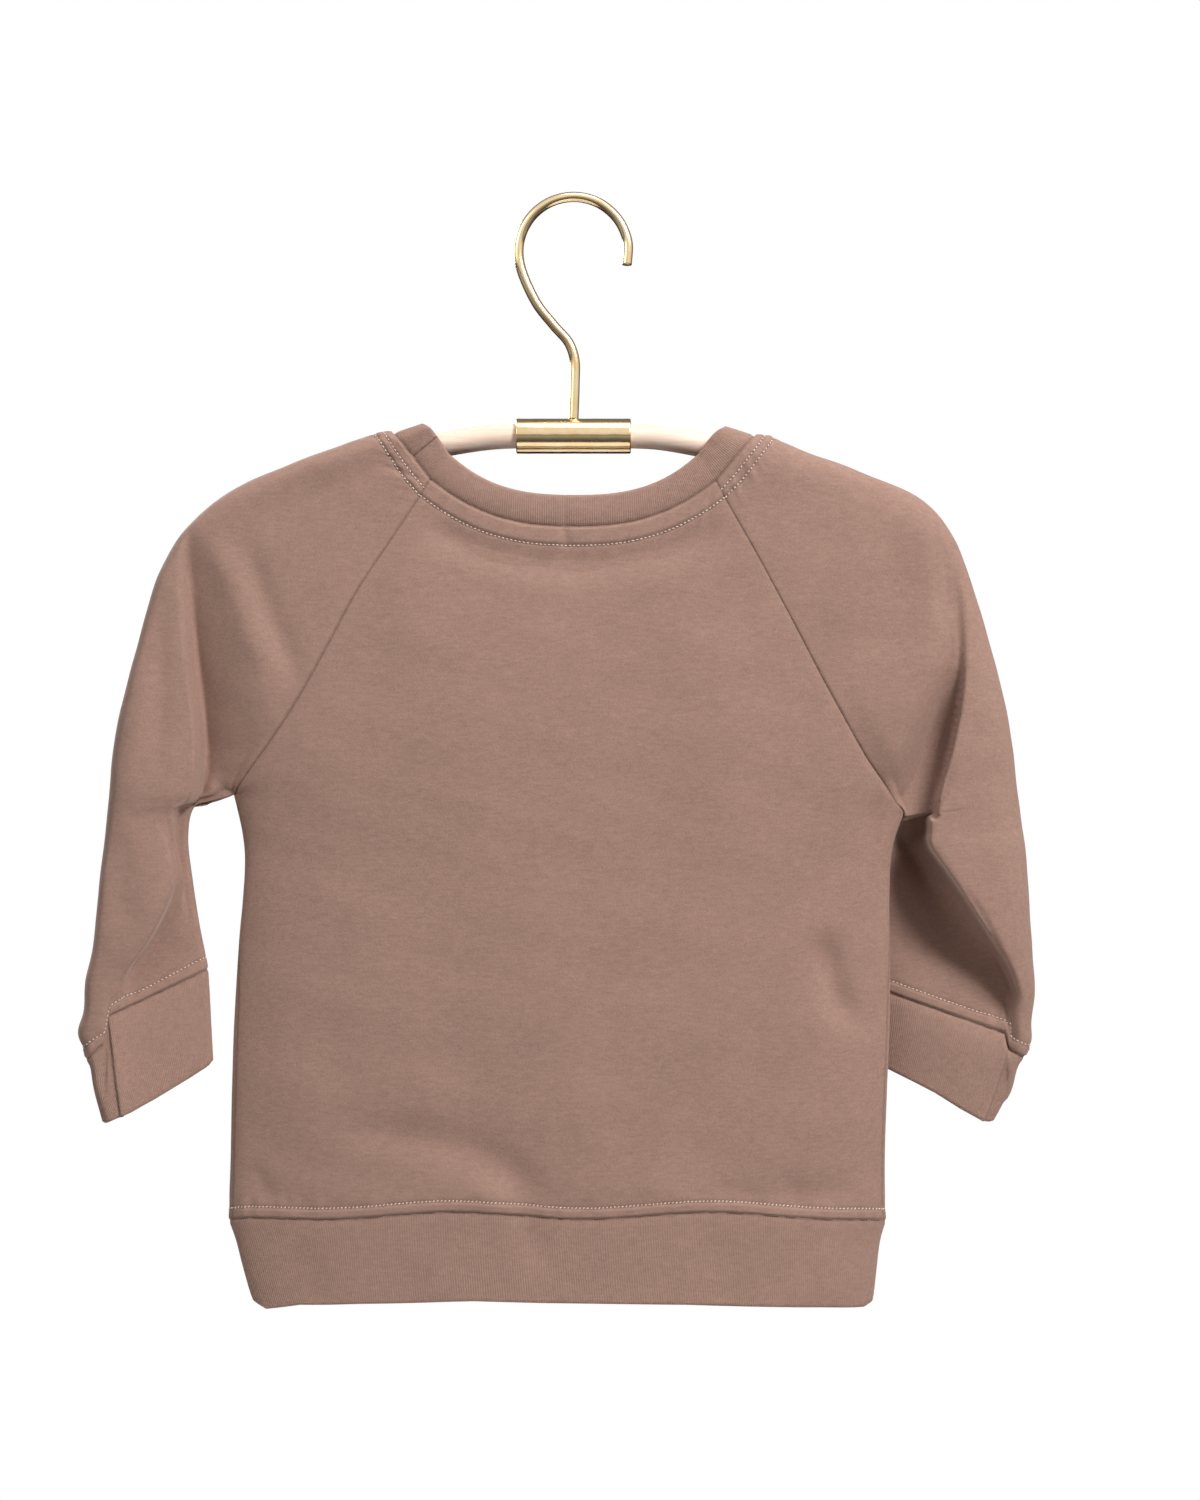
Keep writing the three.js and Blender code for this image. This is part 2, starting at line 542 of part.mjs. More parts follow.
function hookPath() {
  const points = [];
  for (let step = 0; step < HOOK_ARC.points; step += 1) {
    const share = step / (HOOK_ARC.points - 1);
    const angle = THREE.MathUtils.degToRad(THREE.MathUtils.lerp(HOOK_ARC.from, HOOK_ARC.to, share));
    const x = HOOK_ARC.x + HOOK_ARC.radius * Math.cos(angle);
    points.push({ x, z: HOOK_ARC.z + HOOK_ARC.radius * Math.sin(angle) });
  }
  points.push(...HOOK_STEM, { x: 0, z: BAR_HEIGHT + CLAMP.radius + SEAM_GAP });
  return new THREE.CatmullRomCurve3(points.map(({ x, z }) => new THREE.Vector3(x, 0, z)), false, 'centripetal');
}

function hanger() {
  const bar = mesh('hanger_bar', rod(barPath(), BAR_RADIUS, BAR_SIDES, BAR_STEPS), MATERIALS.wood);
  const clamp = mesh('hanger_clamp', clampGeometry(), MATERIALS.brass);
  clamp.position.z = BAR_HEIGHT;
  const hook = mesh('hanger_hook', rod(hookPath(), WIRE.radius, WIRE.sides, WIRE.steps), MATERIALS.brass);
  return new THREE.Group().add(bar, clamp, hook);
}

const group = new THREE.Group();
group.add(garment(), hanger());

export default group;
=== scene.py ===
import functools
import math

import bpy
import numpy as np
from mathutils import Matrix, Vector


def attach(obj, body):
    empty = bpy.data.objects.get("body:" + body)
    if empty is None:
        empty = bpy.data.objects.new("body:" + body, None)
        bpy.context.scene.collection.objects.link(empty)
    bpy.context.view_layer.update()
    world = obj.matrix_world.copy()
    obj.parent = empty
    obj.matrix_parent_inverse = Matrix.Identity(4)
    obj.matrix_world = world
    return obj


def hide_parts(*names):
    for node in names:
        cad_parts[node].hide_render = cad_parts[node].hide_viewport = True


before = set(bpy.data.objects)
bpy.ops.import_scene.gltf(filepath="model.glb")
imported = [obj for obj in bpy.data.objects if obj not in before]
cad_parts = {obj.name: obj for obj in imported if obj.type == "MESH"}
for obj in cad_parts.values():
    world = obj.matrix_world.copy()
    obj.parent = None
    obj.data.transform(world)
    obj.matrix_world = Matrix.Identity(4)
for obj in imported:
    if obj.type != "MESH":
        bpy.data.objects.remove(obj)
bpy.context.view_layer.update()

# A small child's crewneck sweatshirt with raglan sleeves, hung on a wooden hanger with a brass hook.
# Lengths are millimetres until a mesh is made, and metres in the scene. The back faces -Y.

MM = 0.001
TINY = 1e-9
RANDOM_SEED = 12

# Camera, level and square to the garment's back
IMAGE = (1200, 1500)
LENS = 51.0
SENSOR_HEIGHT = 36.0
CAMERA_PLACE = (0.0111, -0.8925, -0.2302)
CLIP_START = 0.01

# Cloth and seams
JERSEY_WALL = 1.6
RIB_WALL = 2.0
SEAM_LAP = 0.3
SEAM_ROLL = {"depth": 0.5, "reach": 0.8}
SIDE_ROLL = {"depth": 0.26, "reach": 0.55}
# How far the painted shade along a seam reaches
SEAM_SHADE_REACH = 0.55
WELT = {"rise": 0.5, "start": 0.1, "shoulder": 1.3, "fall": 1.4}
WELT_AT_SIDES = {"share": 0.3, "reach": 12}
NECK_WELT = {"back": 8.0, "sleeve": 8.3, "inner": 4.7}
NECK_SINK = {"depth": 1.7, "at": 16.0, "reach": 6.5, "sides": (2, 25)}
HEM_WELT = 4.8
CUFF_WELT = 5.3
# STITCH_GROOVE's shade is painted shade along a stitched line, over a share of its groove's reach
STITCH_GROOVE = {"depth": 0.3, "reach": 0.6, "shade": 0.85, "shade_share": 0.7}
PUCKER = {"depth": 0.22, "reach": 5.0, "sides": 6, "lengths": (5.3, 7.9, 11.7, 19.0)}
UNEVEN = {"slope": 0.0029, "lengths": (95, 70, 52, 38, 27, 19)}
CALM = {"sides": (0, 14), "top": (6, 20), "bottom": (2, 14)}
SHUT_GAP = 0.05

# Neck
NECK_TIP_X = 75
COLLAR_WIDTH = 13
COLLAR_BULGE = 0.8
COLLAR_LEAN = math.radians(72)
BACK_LEAN_POWER = 3
FRONT_LEAN_POWER = 1.4
NECK_CURVE_POWER = 2.5
FRONT_CORNER_SHIFT = np.array([-4.0, -12.0])
# Where the collar's ends are sewn: a groove, with painted shade in it
COLLAR_JOIN = {"x": -65.3, "z": -107.5, "depth": 0.7, "reach": 0.7, "shade": 0.8}

# Ribs: how far apart, how deep and how many columns of points make one
COLLAR_RIB = {"pitch": 0.95, "depth": 0.24}
HEM_RIB = {"pitch": 1.0, "depth": 0.17}
CUFF_RIB = {"pitch": 0.95, "depth": 0.19}
RIB_COLUMNS = 4
RIB_START = 0.8
# Painted shade in the valleys between the rib's columns
RIB_SHADE = 0.10
# Painted shade along a step on each cuff's back: its strength and reach
CREASE_SHADE = {"strength": 0.9, "reach": 0.45}

# Panel sections
PANEL_SAMPLES = 240
PANEL_COLUMNS = 176
PANEL_CROWD = 0.75
PANEL_EDGE = {"power": 3, "root": 2.2}
ARMPIT_ROW = 10

# Sleeve sections: the front layer's places, the back layer's at the open edge, and how many points are built
# between two neighbouring places
TUBE_FAR_SHARE = 0.45
FRONT_LAST_SHARE = 0.8
FRONT_LAST_RISE = 0.75
OPEN_SHARES = [0.93, 0.86]
QUARTER_ANGLES = [math.radians(angle) for angle in (22.5, 45, 67.5)]
UNDERARM_RADIUS = 4
SECTION_STEPS = [4, 4, 12, 20, 9, 8, 12, 7, 5, 6, 5, 5, 6, 7, 9, 10, 4, 4]
SILHOUETTE_INDEX = 10
TURNED_PLACES = 3
TUCK_SHARES = (0.33, 0.67)
FOLD_ROLL = {"radius": 1.2, "from": 5, "to": 14, "tuck": 0.2, "tuck_sink": 0.8, "lip": 0.8}

# Towards its outer edge the left sleeve lies flat, and turns to the front within a short way
OUTER_ROUND = {-1: 9, 1: 30}
OUTER_SWELL = {-1: 1.5, 1: 0}
LEDGE = {"run": 0.35, "tuck": 3.0, "tuck_fade": (0, 0.35, 1.2, 2.5)}
BACK_FULLNESS = 0.62

# How much deeper the right sleeve's pocket is than in the part, at places down the sleeve
POCKET = [[10, 10.35, 11, 12, 13, 14, 15, 16], [0, 12, 13.5, 11, 9, 6.5, 3, 0]]
ARMPIT_EASE = {"reach": 1.3, "passes": 140, "sides": (2, 16)}
SIDE_SEAM_TURN = {"left": 4.2, "right": 3.6, "from": -280, "to": -345}
LEAST_TURN = 0.01

# Hem line
HEM_WAVE = {"rise": 1.5, "length": 108, "crest": -50, "arch": 5.2}

# Hanger
BAR_RADIUS = 5.1
BAR_HEIGHT = -98.4
BAR_SEAT_ROWS = [2, 3, 4, 4.6]
BAR_SEAT_STEP = 0.2
BAR_SEAT_GAP = 0.6
BAR_MIDDLE = {"reach": 40, "drop": 1.2}
CLAMP = {"length": 48, "radius": 7.3, "bore": 5.4, "edge": 0.5, "dent": 0.012}
WIRE_RADIUS = 2.1
WIRE_EDGE = 0.5
PATH_POINTS = 600
DOME_ROWS = 9
DOME_LEAST = 0.0004
BAR_MESH = {"rows": 110, "sides": 40}
HOOK_MESH = {"rows": 150, "sides": 24}
CLAMP_MESH = {"rows": 50, "edge_rows": 6, "sides": 72}
CLAMP_SHARP = math.radians(40)

# Dents in the clamp: their lengths, how many there are all round and the range of their phases
CLAMP_DENTS = [(31, 1), (17, 2), (12, 3), (8, 5)]
DENT_PHASES = (0, 6)
DENT_LIMIT = 0.01
HOOK_ARC = {"x": 0, "z": -21, "radius": 23.1, "from": -14, "to": 190, "points": 9}
HOOK_STEM = [(-15.9, -42.0), (-8.1, -52.1), (-2.0, -59.2), (0.4, -66.2), (0.5, -76.0)]
SEAM_GAP = 0.3


def table(names, rows):
    return [dict(zip(names, row)) for row in rows]


# Sleeve sections from the neck seam to the cuff seam. out is the silhouette's point, and in is the raglan
# seam's or the underarm's. back and front are the Y of the in point on either side. crest and dip are the Y
# of the back layer at a share of the width from out, far is the Y of the front layer, and shut is 1 where the
# sleeve has closed to a tube.
SLEEVE_COLUMNS = [
    "outX", "outZ", "inX", "inZ", "back", "front", "crestAt", "crest", "dipAt", "dip", "far", "shut",
]
LEFT_SLEEVE = table(SLEEVE_COLUMNS, [
    [75.0, -97.5, 59.4, -117.6, -9.5, 9.5, 0.50, -10.0, 0.78, -9.8, 10.0, 0],
    [81.7, -97.7, 66.1, -128.1, -10.0, 10.0, 0.42, -10.3, 0.74, -10.2, 10.3, 0],
    [98.1, -103.8, 76.4, -143.7, -10.8, 10.8, 0.34, -10.8, 0.70, -10.9, 10.8, 0],
    [119.1, -110.9, 90.1, -164.6, -11.6, 11.6, 0.27, -11.3, 0.65, -11.8, 11.3, 0],
    [143.4, -122.3, 101.8, -186.5, -12.2, 12.2, 0.24, -11.8, 0.62, -12.5, 11.8, 0],
    [161.9, -137.8, 110.7, -202.9, -12.4, 12.4, 0.25, -12.5, 0.62, -13.0, 12.5, 0],
    [172.4, -155.4, 118.8, -216.3, -11.8, 11.8, 0.30, -13.5, 0.65, -13.5, 14.0, 0],
    [179.1, -175.6, 126.8, -227.9, -10.3, 10.3, 0.36, -14.2, 0.70, -13.5, 15.5, 0],
    [185.8, -199.5, 134.3, -237.8, -8.0, 8.0, 0.42, -15.0, 0.75, -13.0, 17.0, 0.1],
    [190.9, -225.2, 139.9, -245.3, -4.6, 4.6, 0.46, -15.5, 0.78, -12.5, 18.0, 0.4],
    [193.2, -244.9, 142.6, -249.1, 0, 0, 0.48, -15.8, 0.80, -12.5, 18.5, 1],
    [194.2, -254.6, 151.4, -251.4, 0, 0, 0.50, -15.6, 0.80, -13.0, 19.0, 1],
    [195.1, -263.8, 159.4, -254.6, 0, 0, 0.56, -15.4, 0.84, -13.2, 19.0, 1],
    [196.6, -276.4, 161.7, -267.2, 0, 0, 0.80, -15.8, 0.92, -12.5, 19.0, 1],
    [198.7, -293.2, 160.0, -284.8, 1, 1, 0.84, -16.5, 0.94, -8.0, 19.0, 1],
    [200.8, -313.4, 157.3, -303.7, 2, 2, 0.60, -17.0, 0.76, -4.5, 19.0, 1],
    [203.7, -328.9, 155.4, -314.2, 3, 3, 0.38, -16.5, 0.54, -5.5, 18.0, 1],
    [206.5, -347.0, 153.9, -322.6, 3, 3, 0.28, -15.0, 0.46, -8.0, 16.0, 1],
])
RIGHT_SLEEVE = table(SLEEVE_COLUMNS, [
    [75.6, -98.3, 59.2, -118.1, -9.5, 9.5, 0.50, -10.0, 0.78, -9.8, 10.0, 0],
    [82.5, -99.2, 65.7, -130.2, -10.0, 10.0, 0.42, -10.3, 0.74, -10.2, 10.3, 0],
    [99.3, -105.7, 77.1, -150.4, -10.8, 10.8, 0.32, -10.8, 0.70, -10.9, 10.8, 0],
    [119.5, -112.6, 90.9, -176.4, -11.6, 11.6, 0.24, -11.3, 0.65, -11.8, 11.3, 0],
    [145.5, -125.6, 103.5, -200.8, -12.2, 12.2, 0.21, -11.8, 0.62, -12.5, 11.8, 0],
    [158.5, -140.3, 111.1, -214.7, -12.4, 12.4, 0.22, -12.5, 0.62, -13.0, 12.5, 0],
    [165.5, -156.7, 114.8, -221.4, -11.8, 11.8, 0.28, -13.5, 0.65, -13.5, 14.0, 0],
    [173.0, -179.8, 122.1, -233.8, -10.3, 10.3, 0.36, -14.2, 0.70, -13.5, 16.0, 0],
    [179.8, -205.8, 129.4, -244.1, -8.0, 8.0, 0.42, -15.0, 0.75, -13.0, 18.0, 0.1],
    [184.0, -228.1, 134.8, -252.0, -4.6, 4.6, 0.50, -15.5, 0.80, -12.0, 20.0, 0.4],
    [186.5, -249.1, 138.4, -257.5, 0, 0, 0.74, -15.8, 0.86, -8.0, 22.0, 1],
    [187.9, -261.7, 134.0, -265.0, 9, 9, 0.705, -16.0, 0.80, 3.0, 23.5, 1],
    [189.0, -272.2, 130.5, -272.5, 11.5, 11.5, 0.665, -16.5, 0.765, 7.0, 24.0, 1],
    [190.5, -293.2, 128.5, -288.0, 12, 12, 0.46, -16.5, 0.60, 7.0, 24.0, 1],
    [192.2, -314.2, 126.5, -306.6, 13, 13, 0.24, -14.5, 0.40, 4.0, 24.0, 1],
    [193.0, -331.0, 125.5, -318.4, 13, 13, 0.13, -12.0, 0.34, -1.0, 24.0, 1],
    [190.9, -352.0, 125.0, -330.2, 13, 13, 0.08, -9.0, 0.30, -3.0, 23.0, 1],
])

# The cuffs, from the seam down to the edge
LEFT_CUFF = table(SLEEVE_COLUMNS, [
    [205.0, -349.0, 153.9, -323.6, 3, 3, 0.27, -14.5, 0.46, -8.5, 16.0, 1],
    [203.4, -358.0, 153.3, -333.0, 3, 3, 0.24, -14.0, 0.46, -9.0, 15.0, 1],
    [200.0, -371.0, 152.6, -347.5, 3, 3, 0.23, -13.5, 0.45, -8.5, 14.0, 1],
    [196.6, -385.0, 151.8, -362.6, 3, 3, 0.23, -13.0, 0.44, -8.0, 13.0, 1],
])
RIGHT_CUFF = table(SLEEVE_COLUMNS, [
    [189.6, -354.0, 125.0, -331.0, 13, 13, 0.09, -9.0, 0.30, -4.0, 22.5, 1],
    [186.4, -361.5, 124.8, -340.0, 13, 13, 0.10, -9.0, 0.32, -5.0, 22.0, 1],
    [182.0, -373.5, 124.4, -352.0, 13, 13, 0.11, -9.0, 0.34, -4.5, 21.5, 1],
    [175.8, -385.0, 124.0, -364.0, 13, 13, 0.12, -9.0, 0.34, -4.0, 21.0, 1],
])

# The body at each raglan row: the Y of the middle of the back and front, and how far that middle hangs below
# the row's ends
YOKE = table(["back", "front", "backSag", "frontSag"], [
    [-10.0, 9.5, 19.4, 33.0],
    [-10.6, 10.4, 17.5, 29.5],
    [-11.6, 11.4, 13.5, 24.0],
    [-12.6, 12.2, 9.0, 16.0],
    [-13.4, 12.8, 5.5, 9.5],
    [-13.9, 13.2, 3.8, 6.5],
    [-14.2, 13.5, 2.6, 4.5],
    [-14.4, 13.8, 1.6, 3.0],
    [-14.5, 14.0, 0.9, 1.6],
    [-14.6, 14.2, 0.4, 0.6],
    [-14.6, 14.3, 0, 0],
])

# The body from the armpits to the hem seam, and the hem band from there to its edge
BODY_COLUMNS = ["leftX", "leftZ", "rightX", "rightZ", "back", "front", "wave"]
BODY = table(BODY_COLUMNS, [
    [142.6, -249.1, 138.4, -257.5, -14.6, 14.3, 0],
    [138.9, -265.9, 134.2, -270.1, -14.7, 14.4, 0],
    [138.1, -281.0, 132.8, -284.0, -14.8, 14.5, 0],
    [140.4, -310.0, 132.8, -310.0, -15.0, 14.8, 0.1],
    [142.4, -342.0, 132.8, -342.0, -15.2, 15.0, 0.3],
    [143.5, -374.0, 131.6, -374.0, -15.2, 15.0, 0.5],
    [144.0, -400.0, 130.7, -400.0, -15.0, 14.8, 0.8],
    [144.6, -420.5, 130.8, -420.5, -14.8, 14.5, 1],
    [144.7, -428.0, 131.2, -428.0, -14.6, 14.4, 1],
])
HEM = table(BODY_COLUMNS, [
    [144.7, -428.0, 131.2, -428.0, -14.6, 14.4, 1],
    [141.8, -436.0, 128.8, -436.0, -14.4, 14.2, 0.9],
    [139.0, -447.0, 127.4, -447.0, -14.2, 14.0, 0.6],
    [135.9, -458.5, 126.2, -458.5, -14.0, 13.8, 0.5],
    [134.2, -463.8, 125.4, -463.8, -13.9, 13.7, 0.5],
])

# Soft troughs between two points, and ridges where the depth is negative, on the back (-1), the front (1) or
# both (0). bend is how far the middle bows sideways.
FOLDS = table(["fromX", "fromZ", "toX", "toZ", "bend", "width", "depth", "side"], [
    [-136, -146, -113, -206, 0, 5, 1.3, -1],
    [-150, -141, -124, -202, 0, 7, -1.3, -1],
    [-170, -168, -171, -240, 0, 4, 0.9, -1],
    [-178, -190, -184, -262, 0, 5, -0.8, -1],
    [140, -148, 116, -196, -3, 7, 1.3, -1],
    [122, -142, 104, -186, 0, 7, -0.8, -1],
    [126, -244, 125, -280, 0, 4, 1.3, -1],
    [134, -240, 131, -258, 0, 3, 0.8, -1],
    [-110, -262, -60, -300, 0, 12, 0.9, -1],
    [108, -268, 66, -318, 0, 12, 0.9, -1],
    [-96, -232, -58, -272, 0, 13, 1.1, 1],
    [92, -236, 40, -300, 0, 13, 1.1, 1],
    [-133, -318, -130, -352, 0, 6, 0.5, -1],
    [-86, -387, -10, -414, -6, 8, 2.1, -1],
    [-126, -396, -70, -406, 4, 7, 0.5, -1],
    [-133, -404, -126, -418, 0, 3.5, 1.0, -1],
    [-3.6, -137, -3.2, -146, 0, 1.5, 0.9, -1],
    [-26, -404, -12, -446, 0, 7, 1.2, -1],
    [84, -415, 118, -410, 2, 7, 2.0, -1],
    [56, -411, 84, -416, 0, 5, 1.0, -1],
    [-44, -412, -26, -418, 0, 6, -0.9, -1],
    [28, -408, 46, -416, 0, 6, -0.9, -1],
    [104, -308, 116, -346, 2, 6.5, 4.4, -1],
    [116, -350, 117, -392, 0, 8, -1.0, -1],
    [-46, -352, -36, -402, 0, 12, 0.8, -1],
    [47, -358, 54, -410, 0, 12, 0.9, -1],
    [-100, -338, -92, -398, 2, 13, 0.8, -1],
    [4, -366, 14, -420, 0, 10, -0.7, -1],
    [-70, -150, -60, -190, 0, 12, -0.7, -1],
    [66, -160, 78, -215, 0, 12, 0.7, -1],
    [-112, -316, -98, -372, 3, 11, 1.2, 1],
    [100, -300, 84, -380, -4, 12, 1.3, 1],
    [-30, -378, 20, -414, 4, 9, 1.4, 1],
    [52, -404, 96, -420, 0, 7, 1.1, 1],
    [-190, -262, -183, -306, 0, 6, 1.0, -1],
    [163, -289, 186.5, -338, -2, 1.3, 0.7, -1],
    [176, -300, 184, -342, 0, 6, 0.9, 1],
    [-192, -296, -186, -340, 0, 8, 1.1, 1],
    [-114, -438, -104, -464, 0, 8, 1.0, 0],
    [-60, -436, -52, -462, 0, 9, -0.7, -1],
    [60, -432, 66, -462, 0, 9, 0.8, 0],
    [104, -436, 108, -462, 0, 6, -0.6, -1],
])

# Edges where a nearer layer of cloth ends and the one beside it lies deeper. low is 1 where that is on the
# line's right, seen from behind, and -1 where it is on its left.
STEPS = table(["fromX", "fromZ", "toX", "toZ", "bend", "edge", "depth", "reach", "low", "side"], [
    [-192.2, -340, -186.2, -388, 0.6, 0.8, 1.3, 6, -1, -1],
    [180.6, -356, 169.8, -388, -0.6, 0.8, 1.3, 6, 1, -1],
])

# Where a fold, a step and a cuff's crease begin, are full, begin to fade and end, as shares of their lines
FOLD_FADE = (-0.15, 0.25, 0.7, 1.15)
STEP_FADE = (-0.1, 0.3, 0.85, 1.12)
CREASE_FADE = (-0.05, 0.05, 1.0, 1.1)

# The valleys that run down the sleeves from the hanger's ends. Each row has the height, the X of the bottom,
# how far the cloth takes to rise on the sleeve's side and on the body's, and the depth.
VALLEYS = {
    -1: [
        [-137, -159.0, 3.5, 6, 0.0], [-144, -159.3, 3.5, 10, 1.8], [-156, -159.4, 3.6, 16, 4.6],
        [-171, -158.6, 3.8, 21, 7.2], [-192, -156.8, 4.0, 26, 9.6], [-213, -154.6, 3.6, 30, 11.5],
        [-229, -153.6, 3.2, 31, 12.5], [-240, -154.2, 3.0, 28, 12.5], [-248, -155.6, 3.0, 22, 12.0],
        [-253, -157.4, 3.0, 18, 10.0], [-256.5, -159.0, 3.0, 14, 0.0],
    ],
    1: [
        [-140, 155.4, 6.0, 6, 0.0], [-150, 156.4, 6.0, 9, 1.2], [-168, 158.9, 4.5, 12, 2.6],
        [-184, 160.4, 2.8, 14, 2.8], [-196, 160.6, 2.2, 16, 4.4], [-205, 160.0, 1.6, 18, 7.5],
        [-214, 158.8, 1.3, 20, 11.0], [-227, 156.2, 1.2, 22, 14.0], [-242, 152.4, 1.1, 23, 15.0],
        [-250, 150.4, 1.1, 22, 15.0], [-255, 149.8, 1.1, 21, 14.0], [-257.5, 149.6, 1.2, 18, 4.0],
        [-259.5, 149.4, 1.3, 14, 0.0],
    ],
}

# On the body's side a share of a valley is its flat floor, and the rest rises with a power. A valley stays
# this far from the middle of the garment, and the front has a share of its depth.
VALLEY_POWER = 1.6
VALLEY_FLOOR = {-1: 0.0, 1: 0.3}
VALLEY_STOP = 1.5
VALLEY_FRONT_SHARE = 0.45

# Each cuff's seam hangs lower round the sleeve's outer edge, and the sleeve bulges a little above it
DROOP = {
    -1: {"x": 193.8, "run": 1.8, "z": -346, "above": 22, "below": 39, "drop": 12, "in": 0.28, "edge": 10,
         "bulge": 4.2, "bulge_at": -347, "bulge_reach": 7},
    1: {"x": 181.6, "run": 1.8, "z": -352, "above": 20, "below": 33, "drop": 6.5, "in": 0.4, "edge": 7,
        "bulge": 2.4, "bulge_at": -351, "bulge_reach": 6},
}

# How far each cuff's edge hangs below a straight line, at shares of its width from the outer side
CUFF_EDGE = {
    -1: [[0, 0.15, 0.3, 0.5, 0.8, 0.95, 1], [-0.6, -1.4, -2.1, -1.7, -0.4, 0.5, 1.2]],
    1: [[0, 0.1, 0.28, 0.47, 0.62, 0.83, 1], [-0.6, -1.6, -0.6, 1.3, 1.9, 2.5, 2.5]],
}

# How fast the sinking of an edge grows down a band, and where the first of a cuff's own sections lies
HEM_SINK_POWER = 3
CUFF_SINK_POWER = 2
CUFF_START = 0.25

# The height of the hem band's edge along its width
HEM_EDGE = [
    [-134, -129, -114, -89, -41, -14, 47, 103, 122, 126],
    [-461.6, -463.6, -460.9, -459.8, -458.2, -458.9, -459.7, -461.8, -462.9, -461.6],
]

# Rows that are built, as spans of places in the tables with how many rows each has
YOKE_SPANS = [(0, 1.5, 32), (1.5, 10, 78)]
BODY_SPANS = [(10, 16, 60), (16, 17, 14), (17, 18, 16)]
LEFT_TUBE_SPANS = [(10, 16, 58), (16, 17, 26)]
RIGHT_TUBE_SPANS = [(10, 10.5, 14), (10.5, 15, 50), (15, 16, 28)]
RIB_DENSE_ROWS = 48
RIB_EDGE_ROWS = [0, 0.1, 0.3, 0.6, 1.0, 1.6]
RIB_SEAM_ROWS = [0.3, 0.8, 1.6]
RIB_ROW_STEP = 2.6
FOLD_LEAST = 0.01

COLOURS = {
    "jersey": (0.352, 0.216, 0.169),
    "rib": (0.362, 0.224, 0.176),
    "thread": (0.76, 0.61, 0.52),
    "wood": (0.98, 0.80, 0.67),
    "wood_grain": (0.88, 0.60, 0.44),
    "brass": (0.95, 0.75, 0.46),
    "brass_worn": (0.86, 0.56, 0.26),
    "floor": (0.86, 0.85, 0.84),
}


# Curves and spacing

def lerp(start, end, share):
    return start + (end - start) * share


def smoothstep(value, low, high):
    share = np.clip((np.asarray(value, float) - low) / (high - low), 0, 1)
    return share * share * (3 - 2 * share)


def faded(value, stops):
    """0 before the first of four stops and after the last, and 1 between the two in the middle."""
    start, full, fall, end = stops
    return smoothstep(value, start, full) * (1 - smoothstep(value, fall, end))


def bump(value, centre, reach):
    return np.exp(-(((value - centre) / reach) ** 2))


def unit(vectors):
    return vectors / np.maximum(np.linalg.norm(vectors, axis=-1, keepdims=True), TINY)


def blend_four(before, start, end, after, share):
    slope_start = (end - before) / 2
    slope_end = (after - start) / 2
    rest = 1 - share
    return (start * rest * rest * (1 + 2 * share) + end * share * share * (3 - 2 * share)
            + slope_start * share * rest * rest - slope_end * share * share * rest)


def row_at(rows, place):
    last = len(rows) - 1
    index = min(int(place), last - 1)
    near = [rows[min(max(i, 0), last)] for i in range(index - 1, index + 3)]
    return {name: blend_four(*(row[name] for row in near), place - index) for name in rows[0]}


def spans_to_places(spans):
    """Places through several spans, each with its own number of rows and a shared end."""
    places = [np.linspace(start, end, count, endpoint=False) for start, end, count in spans]
    return np.append(np.concatenate(places), spans[-1][1])


def centripetal(controls, spots):
    """Points of the smooth curve through the controls, at spots counted in controls."""
    controls = np.asarray(controls, float)
    first = 2 * controls[0] - controls[1]
    last = 2 * controls[-1] - controls[-2]
    padded = np.vstack([first, controls, last])
    steps = np.sqrt(np.maximum(np.linalg.norm(np.diff(padded, axis=0), axis=1), 1e-6))
    spots = np.asarray(spots, float)
    span = np.clip(spots.astype(int), 0, len(controls) - 2)
    p0, p1, p2, p3 = (padded[span + i] for i in range(4))
    d0, d1, d2 = (steps[span + i][:, None] for i in range(3))
    slope_1 = d1 * ((p1 - p0) / d0 - (p2 - p0) / (d0 + d1) + (p2 - p1) / d1)
    slope_2 = d1 * ((p2 - p1) / d1 - (p3 - p1) / (d1 + d2) + (p3 - p2) / d2)
    t = (spots - span)[:, None]
    return (p1 + slope_1 * t + (3 * (p2 - p1) - 2 * slope_1 - slope_2) * t ** 2
            + (2 * (p1 - p2) + slope_1 + slope_2) * t ** 3)


def lengths(points, axis=0):
    """How far each point lies along its run of points."""
    steps = np.linalg.norm(np.diff(points, axis=axis), axis=-1)
    start = np.zeros_like(np.take(steps, [0], axis=axis))
    return np.concatenate([start, np.cumsum(steps, axis=axis)], axis=axis)


def on_run(places, along, values):
    """Values of three columns at places along a run of points."""
    return np.stack([np.interp(places, along, values[:, i]) for i in range(3)], axis=-1)


def resample(points, shares):
    """Points at shares of a polyline's length."""
    along = lengths(points)
    return on_run(shares * along[-1], along, points)


def crowded_shares(count, crowd):
    """Shares from 0 to 1 that lie closer together at both ends."""
    even = np.linspace(0, 1, count)
    return even - crowd * np.sin(2 * np.pi * even) / (2 * np.pi)


def closed(grid):
    """A grid whose first column comes again after its last."""
    return np.concatenate([grid, grid[:, :1]], axis=1)


def indices(rows, columns):
    return np.arange(rows * columns).reshape(rows, columns)


# Folds

def line_place(line, x, z):
    """How far points lie along a bowed line, as a share of it, and to its right, seen from behind."""
    run = np.array([line["toX"] - line["fromX"], line["toZ"] - line["fromZ"]], float)
    length = np.hypot(*run)
    from_x, from_z = x - line["fromX"], z - line["fromZ"]
    along = (from_x * run[0] + from_z * run[1]) / length ** 2
    across = (from_x * run[1] - from_z * run[0]) / length
    middle = np.clip(along, 0, 1)
    return along, across - line["bend"] * 4 * middle * (1 - middle)


